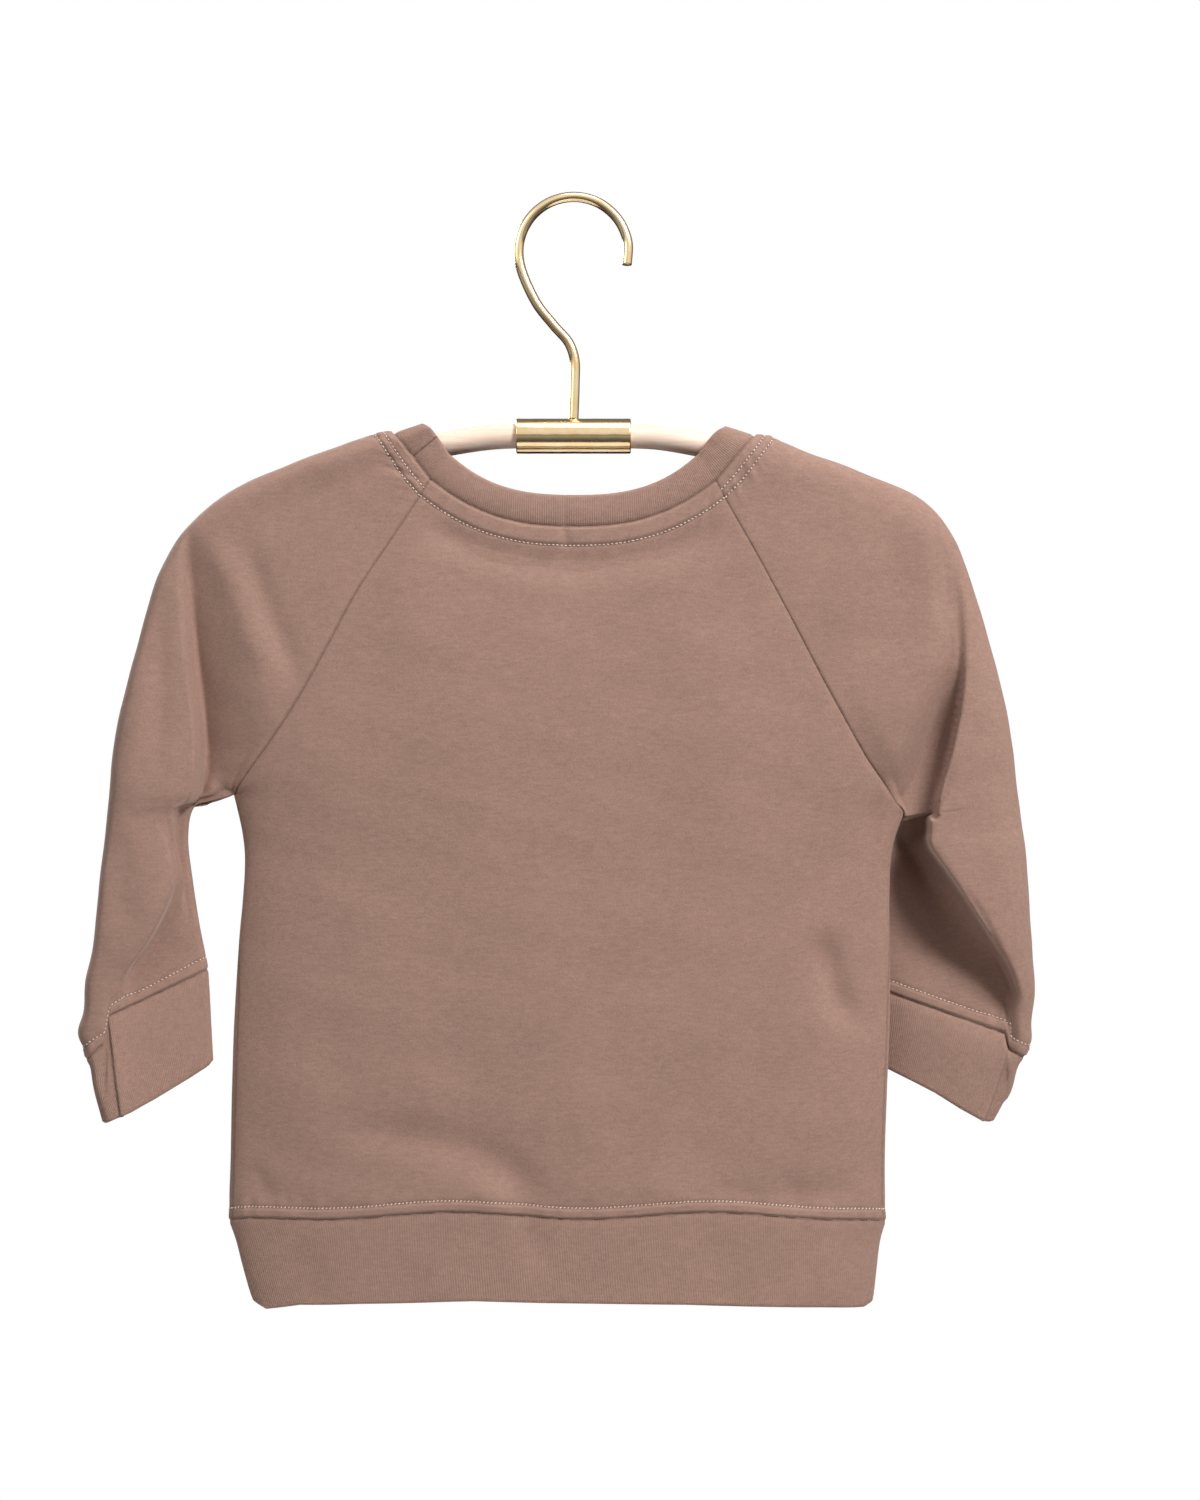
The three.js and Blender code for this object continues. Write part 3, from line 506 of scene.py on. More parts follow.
def valley_depth(x, z):
    depth = np.zeros_like(x)
    for turn, rows in VALLEYS.items():
        height, *columns = np.array(rows[::-1]).T
        bottom, sleeve_side, body_side, deep = (np.interp(z, height, column) for column in columns)
        outward = (x - bottom) * turn
        rising = np.clip((1 + outward / body_side) / (1 - VALLEY_FLOOR[turn]), 0, 1) ** VALLEY_POWER
        depth += deep * np.where(outward > 0, 1 - smoothstep(outward, 0, sleeve_side), rising)
    return depth


def on_side(lines, side):
    return [line for line in lines if line["side"] * side >= 0]


def fold_depth(x, z, side):
    """How far troughs and steps pull the cloth towards the inside at points on one side."""
    depth = np.zeros_like(x)
    for fold in on_side(FOLDS, side):
        along, across = line_place(fold, x, z)
        depth += fold["depth"] * faded(along, FOLD_FADE) * bump(across, 0, fold["width"])
    for step in on_side(STEPS, side):
        along, across = line_place(step, x, z)
        # Down the garment, a point to the line's right has a negative cross product
        deeper = -across * step["low"]
        fall = smoothstep(deeper, -step["edge"] / 2, step["edge"] / 2)
        fall = fall * bump(np.maximum(deeper, 0), 0, step["reach"])
        depth += step["depth"] * faded(along, STEP_FADE) * fall
    return depth


def pressed(points, facing):
    """Cloth gives way along Y as far as it faces it."""
    moved = points.copy()
    for side in (-1, 1):
        depth = fold_depth(points[:, 0], points[:, 2], side)
        valley = valley_depth(points[:, 0], points[:, 2])
        # A valley stops before it reaches the other layer
        room = np.maximum(side * points[:, 1] - VALLEY_STOP, 0)
        depth += np.minimum(valley * (1 if side < 0 else VALLEY_FRONT_SHARE), room)
        moved[:, 1] -= np.where(np.sign(facing) == side, side * depth * np.abs(facing), 0)
    return moved


# The sleeve

def front_corner(row, place):
    share = max(0, 1 - place / ARMPIT_ROW)
    return np.array([row["inX"], row["inZ"]]) + FRONT_CORNER_SHIFT * share


def drooped(points, side):
    at = DROOP[side]
    x, z = points[:, 0] * side, points[:, 2]
    share = smoothstep(x, at["x"] - at["run"], at["x"])
    for limit in (at["z"] + at["above"], at["z"] - at["below"]):
        share = share * smoothstep(z, limit, at["z"])
    moved = points.copy()
    moved[:, 2] -= at["drop"] * share
    bulge = at["bulge"] * bump(moved[:, 2], at["bulge_at"], at["bulge_reach"])
    edge = smoothstep(x, at["x"], at["x"] + at["edge"])
    moved[:, 0] += side * share * edge * (bulge - at["in"] * at["drop"])
    return moved


def section_spots():
    spots = [np.linspace(span, span + 1, steps, endpoint=False) for span, steps in enumerate(SECTION_STEPS)]
    return np.append(np.concatenate(spots), len(SECTION_STEPS))


def sleeve_row(rows, place, side):
    """A section's sizes. Under the right armpit the cloth falls back at once, and its edge lies behind the
    body."""
    row = row_at(rows, place)
    past = place - ARMPIT_ROW
    if side > 0 and len(rows) > ARMPIT_ROW and past > 0:
        sunk = row_at(rows, ARMPIT_ROW + float(smoothstep(past, 0, LEDGE["run"])))
        if past < 1:
            row.update({name: sunk[name] for name in ("back", "front", "dip")})
        row["dip"] += float(np.interp(place, *POCKET))
        row["inX"] -= LEDGE["tuck"] * float(faded(past, LEDGE["tuck_fade"]))
    return row


def fold_places(row, width):
    """The points from the dip to the crest, as (share of the width, y). The fold's edge rolls under where the
    cloth beside it lies deep."""
    roll = float(smoothstep(row["dip"] - row["crest"], FOLD_ROLL["from"], FOLD_ROLL["to"]))
    radius = FOLD_ROLL["radius"]
    straight = [[lerp(row["dipAt"], row["crestAt"], share), lerp(row["dip"], row["crest"], share)]
                for share in TUCK_SHARES]
    rolled = [[row["crestAt"] - FOLD_ROLL["tuck"] * radius / width,
               lerp(row["crest"], row["dip"], FOLD_ROLL["tuck_sink"])],
              [row["crestAt"], row["crest"] + FOLD_ROLL["lip"] * radius]]
    tuck, lip = (lerp(np.array(plain), np.array(round_), roll) for plain, round_ in zip(straight, rolled))
    crest = (row["crestAt"] - roll * radius / width, row["crest"])
    return [(row["dipAt"], row["dip"]), tuck, lip, crest]


def quarter_places(share, y, fullness=1.0):
    """The points from the silhouette to a share of the width."""
    return [(share * (1 - math.cos(angle)), y * math.sin(angle) ** fullness) for angle in QUARTER_ANGLES]


def edge_places(row, width, seam_y, next_y, turn):
    """The points from the seam on, which are round where the sleeve has closed to a tube."""
    places = [(1, seam_y)]
    for index, open_share in enumerate(OPEN_SHARES):
        angle = (index + 1) * math.pi / 4
        round_share = 1 - UNDERARM_RADIUS * (1 - math.cos(angle)) / width
        round_y = seam_y + turn * UNDERARM_RADIUS * math.sin(angle)
        open_y = lerp(seam_y, next_y, (index + 1) / 3)
        places.append((lerp(open_share, round_share, row["shut"]), lerp(open_y, round_y, row["shut"])))
    return places


def sleeve_section(rows, place, side):
    """Points of one section, from the back seam over the silhouette to the front seam."""
    row = sleeve_row(rows, place, side)
    outer = np.array([row["outX"], row["outZ"]])
    back = np.array([row["inX"], row["inZ"]])
    front = front_corner(row, place) if len(rows) > ARMPIT_ROW else back
    width = np.hypot(*(outer - back))
    outer_share = min(row["crestAt"], OUTER_ROUND[side] / width)
    outer_y = row["crest"] - OUTER_SWELL[side]
    last_y = lerp(row["front"], row["far"], FRONT_LAST_RISE)
    far_at = lerp(row["crestAt"], TUBE_FAR_SHARE, row["shut"])
    back_layer = [
        *edge_places(row, width, row["back"], row["dip"], -1), *fold_places(row, width),
        *quarter_places(outer_share, outer_y, BACK_FULLNESS)[::-1], (0, 0),
    ]
    front_layer = [
        *quarter_places(far_at, row["far"]), (far_at, row["far"]), (FRONT_LAST_SHARE, last_y),
        *edge_places(row, width, row["front"], last_y, 1)[::-1],
    ]
    controls = []
    for inner, layer in ((back, back_layer), (front, front_layer)):
        for share, y in layer:
            x, z = lerp(outer, inner, share)
            controls.append([side * x, y, z])
    spots = section_spots()
    points = centripetal(controls, spots)
    from_silhouette = spots - SILHOUETTE_INDEX
    facing = np.sign(from_silhouette) * np.minimum(1, np.abs(from_silhouette) / TURNED_PLACES)
    facing *= np.minimum(1, np.minimum(spots, len(SECTION_STEPS) - spots))
    points = drooped(pressed(points, facing), side)
    return points if side > 0 else points[::-1]


# The body

def panel_row(left, right, middle_y, sag, wave, turn):
    """left and right are (x, y, z). turn is 1 for the back, whose points run from the left, and -1 for the
    front, whose points run from the right."""
    across = -np.cos(np.linspace(0, np.pi, PANEL_SAMPLES)) * turn
    share = (across + 1) / 2
    crown = (1 - np.abs(across) ** PANEL_EDGE["power"]) ** (1 / PANEL_EDGE["root"])
    x = lerp(left[0], right[0], share)
    y = lerp(lerp(left[1], right[1], share), middle_y, crown)
    lift = HEM_WAVE["arch"] + HEM_WAVE["rise"] * np.cos(
        2 * np.pi * (x - HEM_WAVE["crest"]) / HEM_WAVE["length"])
    z = (lerp(left[2], right[2], share) - sag * (1 - np.abs(across) ** NECK_CURVE_POWER)
         + wave * crown * lift)
    return pressed(np.stack([x, y, z], axis=1), -turn * crown)


def yoke_row(place, turn):
    ends = []
    for rows, side in ((LEFT_SLEEVE, -1), (RIGHT_SLEEVE, 1)):
        row = row_at(rows, place)
        corner = (row["inX"], row["inZ"]) if turn > 0 else front_corner(row, place)
        ends.append((side * corner[0], row["back"] if turn > 0 else row["front"], corner[1]))
    middle = row_at(YOKE, place)
    names = ("back", "backSag") if turn > 0 else ("front", "frontSag")
    return panel_row(*ends, middle[names[0]], middle[names[1]], 0, turn)


def body_row(rows, place, turn):
    row = row_at(rows, place)
    left = (-row["leftX"], 0, row["leftZ"])
    right = (row["rightX"], 0, row["rightZ"])
    return panel_row(left, right, row["back"] if turn > 0 else row["front"], 0, row["wave"], turn)


def cut_at(points, start, end):
    """The part of a polyline between two distances along it."""
    along = lengths(points)
    inside = points[(along > start) & (along < end)]
    return np.vstack([on_run(start, along, points), inside, on_run(end, along, points)])


def side_seam_turn(z):
    share = smoothstep(-z, -SIDE_SEAM_TURN["from"], -SIDE_SEAM_TURN["to"])
    return SIDE_SEAM_TURN["left"] * share, SIDE_SEAM_TURN["right"] * share


def panel_rows(turn):
    """The body's rows on one side. Towards the hem the side seams turn a little to the back."""
    shares = crowded_shares(PANEL_COLUMNS, PANEL_CROWD)
    places = spans_to_places(YOKE_SPANS + BODY_SPANS)
    rows = []
    for place in places:
        if place <= ARMPIT_ROW:
            rows.append(resample(yoke_row(place, turn), shares))
            continue
        back = body_row(BODY, place - ARMPIT_ROW, 1)
        left, right = side_seam_turn(back[0, 2])
        length = lengths(back)[-1]
        points = cut_at(back, left, length - right)
        if turn < 0:
            points = body_row(BODY, place - ARMPIT_ROW, -1)
            if left > LEAST_TURN:
                points = np.vstack([cut_at(back, length - right, length)[:-1], points,
                                    cut_at(back, 0, left)[1:]])
        rows.append(resample(points, shares))
    return eased(np.array(rows), places)


def eased(points, places):
    """Rows near the armpits follow one another without a crease."""
    across = lengths(points, axis=1)
    sides = np.minimum(across, across[:, -1:] - across)
    share = bump(places, ARMPIT_ROW, ARMPIT_EASE["reach"])[:, None] * smoothstep(sides, *ARMPIT_EASE["sides"])
    for _ in range(ARMPIT_EASE["passes"]):
        middle = (points[:-2] + points[2:]) / 2
        points[1:-1] += 0.5 * share[1:-1, :, None] * (middle - points[1:-1])
    return points


# Cloth pieces

def surface_normals(points, ring=False):
    down = np.gradient(points, axis=0)
    if ring:
        return unit(np.cross(down, np.roll(points, -1, axis=1) - np.roll(points, 1, axis=1)))
    normals = unit(np.cross(down, np.gradient(points, axis=1)))
    shut = np.linalg.norm(points[:, 0] - points[:, -1], axis=1) < SHUT_GAP
    shared = unit(normals[shut, 0] + normals[shut, -1])
    normals[shut, 0] = shared
    normals[shut, -1] = shared
    return normals


def lapped(points, ring=False):
    """Edges run a little past the seam, so that the pieces meet inside its groove."""
    result = points.copy()
    pulls = [((0, slice(None)), (1, slice(None))), ((-1, slice(None)), (-2, slice(None)))]
    if not ring:
        pulls += [((slice(None), 0), (slice(None), 1)), ((slice(None), -1), (slice(None), -2))]
    for edge, beside in pulls:
        result[edge] -= unit(points[beside] - points[edge]) * SEAM_LAP
    return result


def uneven(points, seed):
    """Soft unevenness of hanging cloth: a few broad, shallow waves in different directions."""
    random = np.random.default_rng(seed)
    total = np.zeros(points.shape[:2])
    for length in UNEVEN["lengths"]:
        angle = random.uniform(0, np.pi)
        along = points[..., 0] * math.cos(angle) + points[..., 2] * math.sin(angle)
        total += length * UNEVEN["slope"] * np.sin(2 * np.pi * along / length + random.uniform(0, 2 * np.pi))
    return total


def puckers(along, seed):
    """Small uneven gathers beside a line of stitches."""
    random = np.random.default_rng(seed)
    total = np.zeros_like(along)
    for length in PUCKER["lengths"]:
        total += np.sin(2 * np.pi * along / length + random.uniform(0, 2 * np.pi))
    return total / math.sqrt(len(PUCKER["lengths"]))


def seam_roll(distance, roll=SEAM_ROLL):
    return -roll["depth"] * bump(distance, 0, roll["reach"])


def stitch_groove(distance, width):
    return STITCH_GROOVE["depth"] * bump(distance, width, STITCH_GROOVE["reach"])


def welt(distance, width):
    """A raised strip beside a seam, held down by a line of stitches."""
    swell = faded(distance, (WELT["start"], WELT["shoulder"], width - WELT["fall"], width))
    return WELT["rise"] * swell - stitch_groove(distance, width)


def quads(*corners):
    return np.stack(corners, axis=-1).reshape(-1, 4)


def wall_faces(outer, inner, ring):
    """Faces of a wall between two grids of indices, with its rims."""
    faces = [
        quads(outer[:-1, :-1], outer[1:, :-1], outer[1:, 1:], outer[:-1, 1:]),
        quads(inner[:-1, :-1], inner[:-1, 1:], inner[1:, 1:], inner[1:, :-1]),
        quads(outer[0, :-1], outer[0, 1:], inner[0, 1:], inner[0, :-1]),
        quads(outer[-1, :-1], inner[-1, :-1], inner[-1, 1:], outer[-1, 1:]),
    ]
    if not ring:
        faces.append(quads(outer[:-1, 0], inner[:-1, 0], inner[1:, 0], outer[1:, 0]))
        faces.append(quads(outer[:-1, -1], outer[1:, -1], inner[1:, -1], inner[:-1, -1]))
    return np.concatenate(faces)


def add_mesh(name, vertices, faces, uv=None, uv_faces=None, painted_shade=None):
    """A smooth object from arrays: vertices in millimetres, faces of one size, and a UV place for each
    corner."""
    mesh = bpy.data.meshes.new(name)
    mesh.vertices.add(len(vertices))
    mesh.vertices.foreach_set("co", (np.asarray(vertices) * MM).ravel())
    corners = faces.shape[1]
    mesh.loops.add(faces.size)
    mesh.loops.foreach_set("vertex_index", faces.ravel().astype(np.int32))
    mesh.polygons.add(len(faces))
    mesh.polygons.foreach_set("loop_start", np.arange(0, faces.size, corners, dtype=np.int32))
    mesh.update(calc_edges=True)
    if uv is not None:
        layer = mesh.uv_layers.new(name="cloth")
        layer.data.foreach_set("uv", (uv[uv_faces.ravel()] * MM).ravel())
    # Painted shade for each point, kept as an attribute that darkens the cloth's colour
    if painted_shade is not None:
        mesh.attributes.new("painted_shade", "FLOAT", "POINT").data.foreach_set("value", painted_shade.ravel())
    mesh.shade_smooth()
    mesh.validate()
    piece = bpy.data.objects.new(name, mesh)
    bpy.context.collection.objects.link(piece)
    return piece


def wall(name, points, normals, rise, depth, shade, ring=False):
    """A wall whose outer face is raised by rise and whose inner face lies depth inside, both along the
    normals."""
    base = lapped(points, ring)
    outer = base + normals * rise[..., None]
    inner = base - normals * depth[..., None]
    index = indices(*points.shape[:2])
    spread = points
    if ring:
        index, spread = closed(index), closed(points)
    places = indices(*spread.shape[:2])
    middle = lengths(spread, axis=1)[len(points) // 2]
    down = lengths(spread, axis=0)
    uv = np.stack([np.broadcast_to(middle, down.shape), down], axis=-1).reshape(-1, 2)
    vertices = np.concatenate([outer.reshape(-1, 3), inner.reshape(-1, 3)])
    faces = wall_faces(index, index + rise.size, ring)
    # shade is painted shade at each point, the same on the outer and the inner face
    painted_shade = np.concatenate([shade.ravel(), shade.ravel()])
    return add_mesh(name, vertices, faces, uv, wall_faces(places, places, ring), painted_shade), outer


def edge_distances(points):
    """How far each point lies from the grid's top, bottom, first column and last column."""
    down = lengths(points, axis=0)
    across = lengths(points, axis=1)
    return down, down[-1:] - down, across, across[:, -1:] - across


def jersey_piece(name, points, normals, neck_width, lower_width, seed, neck_inner=None):
    """A panel or sleeve with its stitched welts at the neck and at its lower edge."""
    top, bottom, first, last = edge_distances(points)
    sides = np.minimum(first, last)
    # The unevenness fades out at the seams, where the next piece has none
    rise = uneven(points, seed) * (smoothstep(sides, *CALM["sides"]) * smoothstep(top, *CALM["top"])
                                   * smoothstep(bottom, *CALM["bottom"]))
    rise += seam_roll(top) + seam_roll(bottom) + seam_roll(sides, SIDE_ROLL)
    at_sides = lerp(WELT_AT_SIDES["share"], 1, smoothstep(sides, 0, WELT_AT_SIDES["reach"]))
    rise += welt(top, neck_width) + welt(bottom, lower_width) * at_sides
    if neck_inner is None:
        sink = NECK_SINK["depth"] * bump(top, NECK_SINK["at"], NECK_SINK["reach"])
        rise -= sink * smoothstep(sides, *NECK_SINK["sides"])
    else:
        rise -= stitch_groove(top, neck_inner)
    stitched = [(top, neck_width), (bottom, lower_width)]
    gathers = puckers(lengths(points, axis=1), seed + 1)
    for distance, width in stitched:
        gather = PUCKER["depth"] * gathers * bump(distance, width, PUCKER["reach"])
        rise += gather * smoothstep(sides, 0, PUCKER["sides"])
    # Painted shade along the seams and the stitched lines, where shade falls in their grooves
    shade = np.maximum.reduce([bump(d, 0, SEAM_SHADE_REACH) for d in (top, bottom, first, last)])
    if neck_inner is not None:
        stitched.append((top, neck_inner))
    reach = STITCH_GROOVE["reach"] * STITCH_GROOVE["shade_share"]
    for distance, width in stitched:
        shade = np.maximum(shade, STITCH_GROOVE["shade"] * bump(distance, width, reach))
    piece, outer = wall(name, points, normals, rise, np.full(rise.shape, JERSEY_WALL), shade)
    return {"piece": piece, "points": points, "normals": normals, "outer": outer, "top": top,
            "bottom": bottom}


def folded_edge(distance):
    """Share of the wall's thickness at a distance from an edge where the cloth is folded over."""
    radius = RIB_WALL / 2
    return np.sqrt(np.clip(1 - (1 - np.minimum(distance / radius, 1)) ** 2, FOLD_LEAST, 1))


def crease_shade(points, line):
    """A thin line of painted shade along a step on the back."""
    along, across = line_place(line, points[..., 0], points[..., 2])
    behind = points[..., 1] < points[..., 1].mean()
    shade = CREASE_SHADE["strength"] * faded(along, CREASE_FADE)
    return shade * bump(across, 0, CREASE_SHADE["reach"]) * behind


def rib_piece(name, points, rib, folded, join=None, crease=None):
    """A folded band of rib: one edge is sewn and the other is the fold. folded is "top" or "bottom"."""
    normals = surface_normals(points, ring=True)
    down = lengths(points, axis=0)
    up = down[-1:] - down
    free, sewn = (down, up) if folded == "top" else (up, down)
    phase = 2 * np.pi * np.arange(points.shape[1]) / RIB_COLUMNS
    rise = seam_roll(sewn) - rib["depth"] / 2 * (1 - np.cos(phase))[None, :] * smoothstep(sewn, 0, RIB_START)
    # Painted shade along the sewn edge and in the rib's valleys
    shade = bump(sewn, 0, SEAM_SHADE_REACH) + RIB_SHADE * (0.5 - 0.5 * np.cos(phase))[None, :]
    if join is not None:
        around = lengths(closed(points), axis=1)[-1]
        away = np.abs(around[:-1] - around[join])
        away = np.minimum(away, around[-1] - away)
        near = bump(away, 0, COLLAR_JOIN["reach"])[None, :]
        rise = rise - COLLAR_JOIN["depth"] * near
        # Painted shade in the join's groove
        shade = shade + COLLAR_JOIN["shade"] * near
    if crease is not None:
        # Painted shade along the cuff's step
        shade = shade + crease_shade(points, crease)
    thick = folded_edge(free)
    middle = -RIB_WALL / 2
    rise = middle + (rise - middle) * thick
    depth = -middle * (1 + thick)
    piece, _ = wall(name, points, normals, rise, depth, np.clip(shade, 0, 1), ring=True)
    return {"piece": piece, "points": points}


def closed_ring(points, count):
    """Evenly spaced points round a closed polyline, the first one kept."""
    loop = np.vstack([points, points[:1]])
    return resample(loop, np.arange(count) / count)


def rib_row_shares(length):
    """Rows of a band from its sewn edge to its fold, close together at both."""
    sewn = [0] + RIB_SEAM_ROWS
    free = [length - distance for distance in RIB_EDGE_ROWS[::-1]]
    count = max(2, round((free[0] - sewn[-1]) / RIB_ROW_STEP))
    between = np.linspace(sewn[-1], free[0], count + 1)[1:-1]
    return np.concatenate([sewn, between, free]) / length


def respaced_rows(points, shares):
    """Each column's points at shares of its own length."""
    columns = [resample(points[:, column], shares) for column in range(points.shape[1])]
    return np.stack(columns, axis=1)


def rib_columns(ring, pitch):
    length = lengths(np.vstack([ring, ring[:1]]))[-1]
    return RIB_COLUMNS * round(length / pitch)


def upright(row, top_row, count):
    """Points of one side of the hem band that keep their distance from its middle, but for those near its
    sides."""
    half, top_half = lengths(row)[-1] / 2, lengths(top_row)[-1] / 2
    place = np.linspace(-top_half, top_half, count, endpoint=False)
    place -= np.sign(place) * (top_half - half) * smoothstep(np.abs(place), 0.5 * top_half, top_half)
    return resample(row, (place + half) / (2 * half))


def sunk_rows(points, sink, power):
    """A band's rows, with its edge sunk and the others less and less, spaced for the rib."""
    points[..., 2] += sink * np.linspace(0, 1, len(points))[:, None] ** power
    return respaced_rows(points, rib_row_shares(lengths(points)[-1].mean()))


def hem_points():
    places = np.linspace(0, len(HEM) - 1, RIB_DENSE_ROWS)
    tops = {turn: body_row(HEM, 0, turn) for turn in (1, -1)}
    count = rib_columns(np.vstack(list(tops.values())), HEM_RIB["pitch"]) // 2
    halves = [[upright(body_row(HEM, place, turn), top, count) for place in places]
              for turn, top in tops.items()]
    points = np.concatenate(halves, axis=1)
    sink = np.interp(points[-1, :, 0], *HEM_EDGE) - points[-1, :, 2]
    return sunk_rows(points, sink, HEM_SINK_POWER)


def cuff_points(sleeve_points, sections, side):
    rings = [sleeve_points[-1][:-1]]
    rings += [sleeve_section(sections, place, side)[:-1]
              for place in np.linspace(CUFF_START, len(sections) - 1, RIB_DENSE_ROWS)]
    count = rib_columns(rings[0], CUFF_RIB["pitch"])
    points = np.array([closed_ring(ring, count) for ring in rings])
    edge = np.abs(points[-1, :, 0])
    sink = np.interp((edge.max() - edge) / np.ptp(edge), *CUFF_EDGE[side])
    return sunk_rows(points, sink, CUFF_SINK_POWER)


def collar_points(seam):
    """The collar stands on the neck seam and leans inwards, more and more towards the shoulders."""
    seam = closed_ring(seam, rib_columns(seam, COLLAR_RIB["pitch"]))
    power = np.where(seam[:, 1] < 0, BACK_LEAN_POWER, FRONT_LEAN_POWER)
    lean = COLLAR_LEAN * np.minimum(1, np.abs(seam[:, 0]) / NECK_TIP_X) ** power
    rings = []
    for share in rib_row_shares(COLLAR_WIDTH)[::-1]:
        reach = COLLAR_WIDTH * share
        swell = np.sign(seam[:, 1]) * COLLAR_BULGE * math.sin(math.pi * share) * np.cos(lean)
        rings.append(seam + np.stack([-np.sign(seam[:, 0]) * reach * np.sin(lean), swell,
                                      reach * np.cos(lean)], axis=1))
    return np.array(rings)


# Stitches

STITCH = {"length": 1.12, "width": 0.56, "height": 0.4, "sides": 6, "turn": 0.2, "lift": 0.2, "aim": 0.4,
          "sizes": (0.88, 1.08)}
STITCH_RINGS = [(-0.42, 0.55), (-0.2, 0.95), (0.2, 0.95), (0.42, 0.55)]
STITCH_PITCH = {"neck": 1.75, "hem": 1.6, "cuff": 1.75}
STITCH_SLANT = {"neck": 0.0, "hem": 0.8, "cuff": 0.0}


def line_at(cloth, distances, distance):
    """Points and normals of a line at a distance from an edge, one for each column that reaches it."""
    points, normals = [], []
    for column in range(distances.shape[1]):
        order = np.argsort(distances[:, column])
        away = distances[order, column]
        if away[-1] < distance:
            continue
        points.append(on_run(distance, away, cloth["outer"][order, column]))
        normals.append(on_run(distance, away, cloth["normals"][order, column]))
    return np.array(points), np.array(normals)


def stitch_template():
    """One stitch along X: rings that swell to its middle, with a point at each end."""
    sides = STITCH["sides"]
    vertices = [(-0.5, 0, 0)]
    for x, size in STITCH_RINGS:
        for side in range(sides):
            angle = 2 * math.pi * side / sides
            vertices.append((x, size * math.cos(angle) / 2, size * math.sin(angle) / 2))
    vertices.append((0.5, 0, 0))
    last_ring = len(STITCH_RINGS) - 1
    faces = []
    for side in range(sides):
        beside = (side + 1) % sides
        faces.append((0, 1 + beside, 1 + side))
        faces.append((len(vertices) - 1, 1 + last_ring * sides + side, 1 + last_ring * sides + beside))
        for ring in range(last_ring):
            a, b = 1 + ring * sides + side, 1 + ring * sides + beside
            faces.append((a, b, b + sides))
            faces.append((a, b + sides, a + sides))
    return np.array(vertices) * [STITCH["length"], STITCH["width"], STITCH["height"]], np.array(faces)


def stitch_line(points, normals, kind, random):
    """Vertices of the stitches along a line, as (stitch, vertex, 3)."""
    along = lengths(points)
    count = max(2, int(along[-1] / STITCH_PITCH[kind]))
    centres = (np.arange(count) + 0.5) * along[-1] / count
    place = on_run(centres, along, points)
    normal = unit(on_run(centres, along, normals))
    ahead, behind = (on_run(centres + aim, along, points) for aim in (STITCH["aim"], -STITCH["aim"]))
    run = unit(ahead - behind)
    across = np.cross(normal, run)
    turn = random.normal(0, STITCH["turn"], count)[:, None] + STITCH_SLANT[kind]
    run, across = run * np.cos(turn) + across * np.sin(turn), across * np.cos(turn) - run * np.sin(turn)
    local = stitch_template()[0] * random.uniform(*STITCH["sizes"], (count, 1, 1))
    return (place[:, None] + normal[:, None] * STITCH["lift"] + run[:, None] * local[..., :1]
            + across[:, None] * local[..., 1:2] + normal[:, None] * local[..., 2:])


def stitches(name, lines):
    """One mesh of all the stitches along some lines of (points, normals, kind)."""
    random = np.random.default_rng(RANDOM_SEED)
    vertices = np.concatenate([stitch_line(*line, random) for line in lines])
    _, faces = stitch_template()
    count, each = vertices.shape[:2]
    all_faces = (faces[None] + (np.arange(count) * each)[:, None, None]).reshape(-1, 3)
    piece = add_mesh(name, vertices.reshape(-1, 3), all_faces)
    paint(piece, thread_material())
    return piece


# Materials

# Noise in the cloth: its scale, detail and roughness, and how strongly it colours the cloth
CLOTH_NOISE = {
    "fibre": ((1300, 4.0, 0.65), 0.56),
    "streak": ((900, 3.0, 0.6), 0.40),
    "blotch": ((300, 3.0, 0.6), 0.18),
    "mottle": ((45, 2.0), 0.12),
}
SWAY = {"scale": 260, "share": 0.9}
STREAK_SCALE = (0.22, 1.0, 1.0)
LOOP_TONE = 0.015
PAINTED_SHADE_TONE = -0.30

# The knits' names, with the widths of their wales and courses in metres
KNIT = {"jersey": ("jersey_knit", 0.0009, 0.0007), "rib": ("rib_knit", 0.0010, 0.0006)}

# Looks. A noise is its scale, detail and roughness, rough is the share of a noise and what is added to it,
# and bump is its strength and its height in metres.
CLOTH_LOOK = {"rough": (0.16, 0.80), "bump": (0.55, 0.00022), "loops": 0.12, "blotch": 0.6}
THREAD_LOOK = {"noise": 900, "tints": (0.72, 1.25)}
WOOD_LOOK = {"stretch": (1.0, 16.0, 16.0), "grain": (45, 5.0, 0.65), "fleck": 170, "fleck_share": 0.35,
             "stops": (0.52, 0.92), "rough": (0.3, 0.38), "bump": (0.25, 0.0002)}
BRASS_LOOK = {"wear": (130, 4.0, 0.6), "fine": (900, 3.0, 0.6), "fine_share": 0.15, "stops": (0.35, 0.85),
              "rough": (0.06, 0.13), "bump": (0.015, 0.0002)}


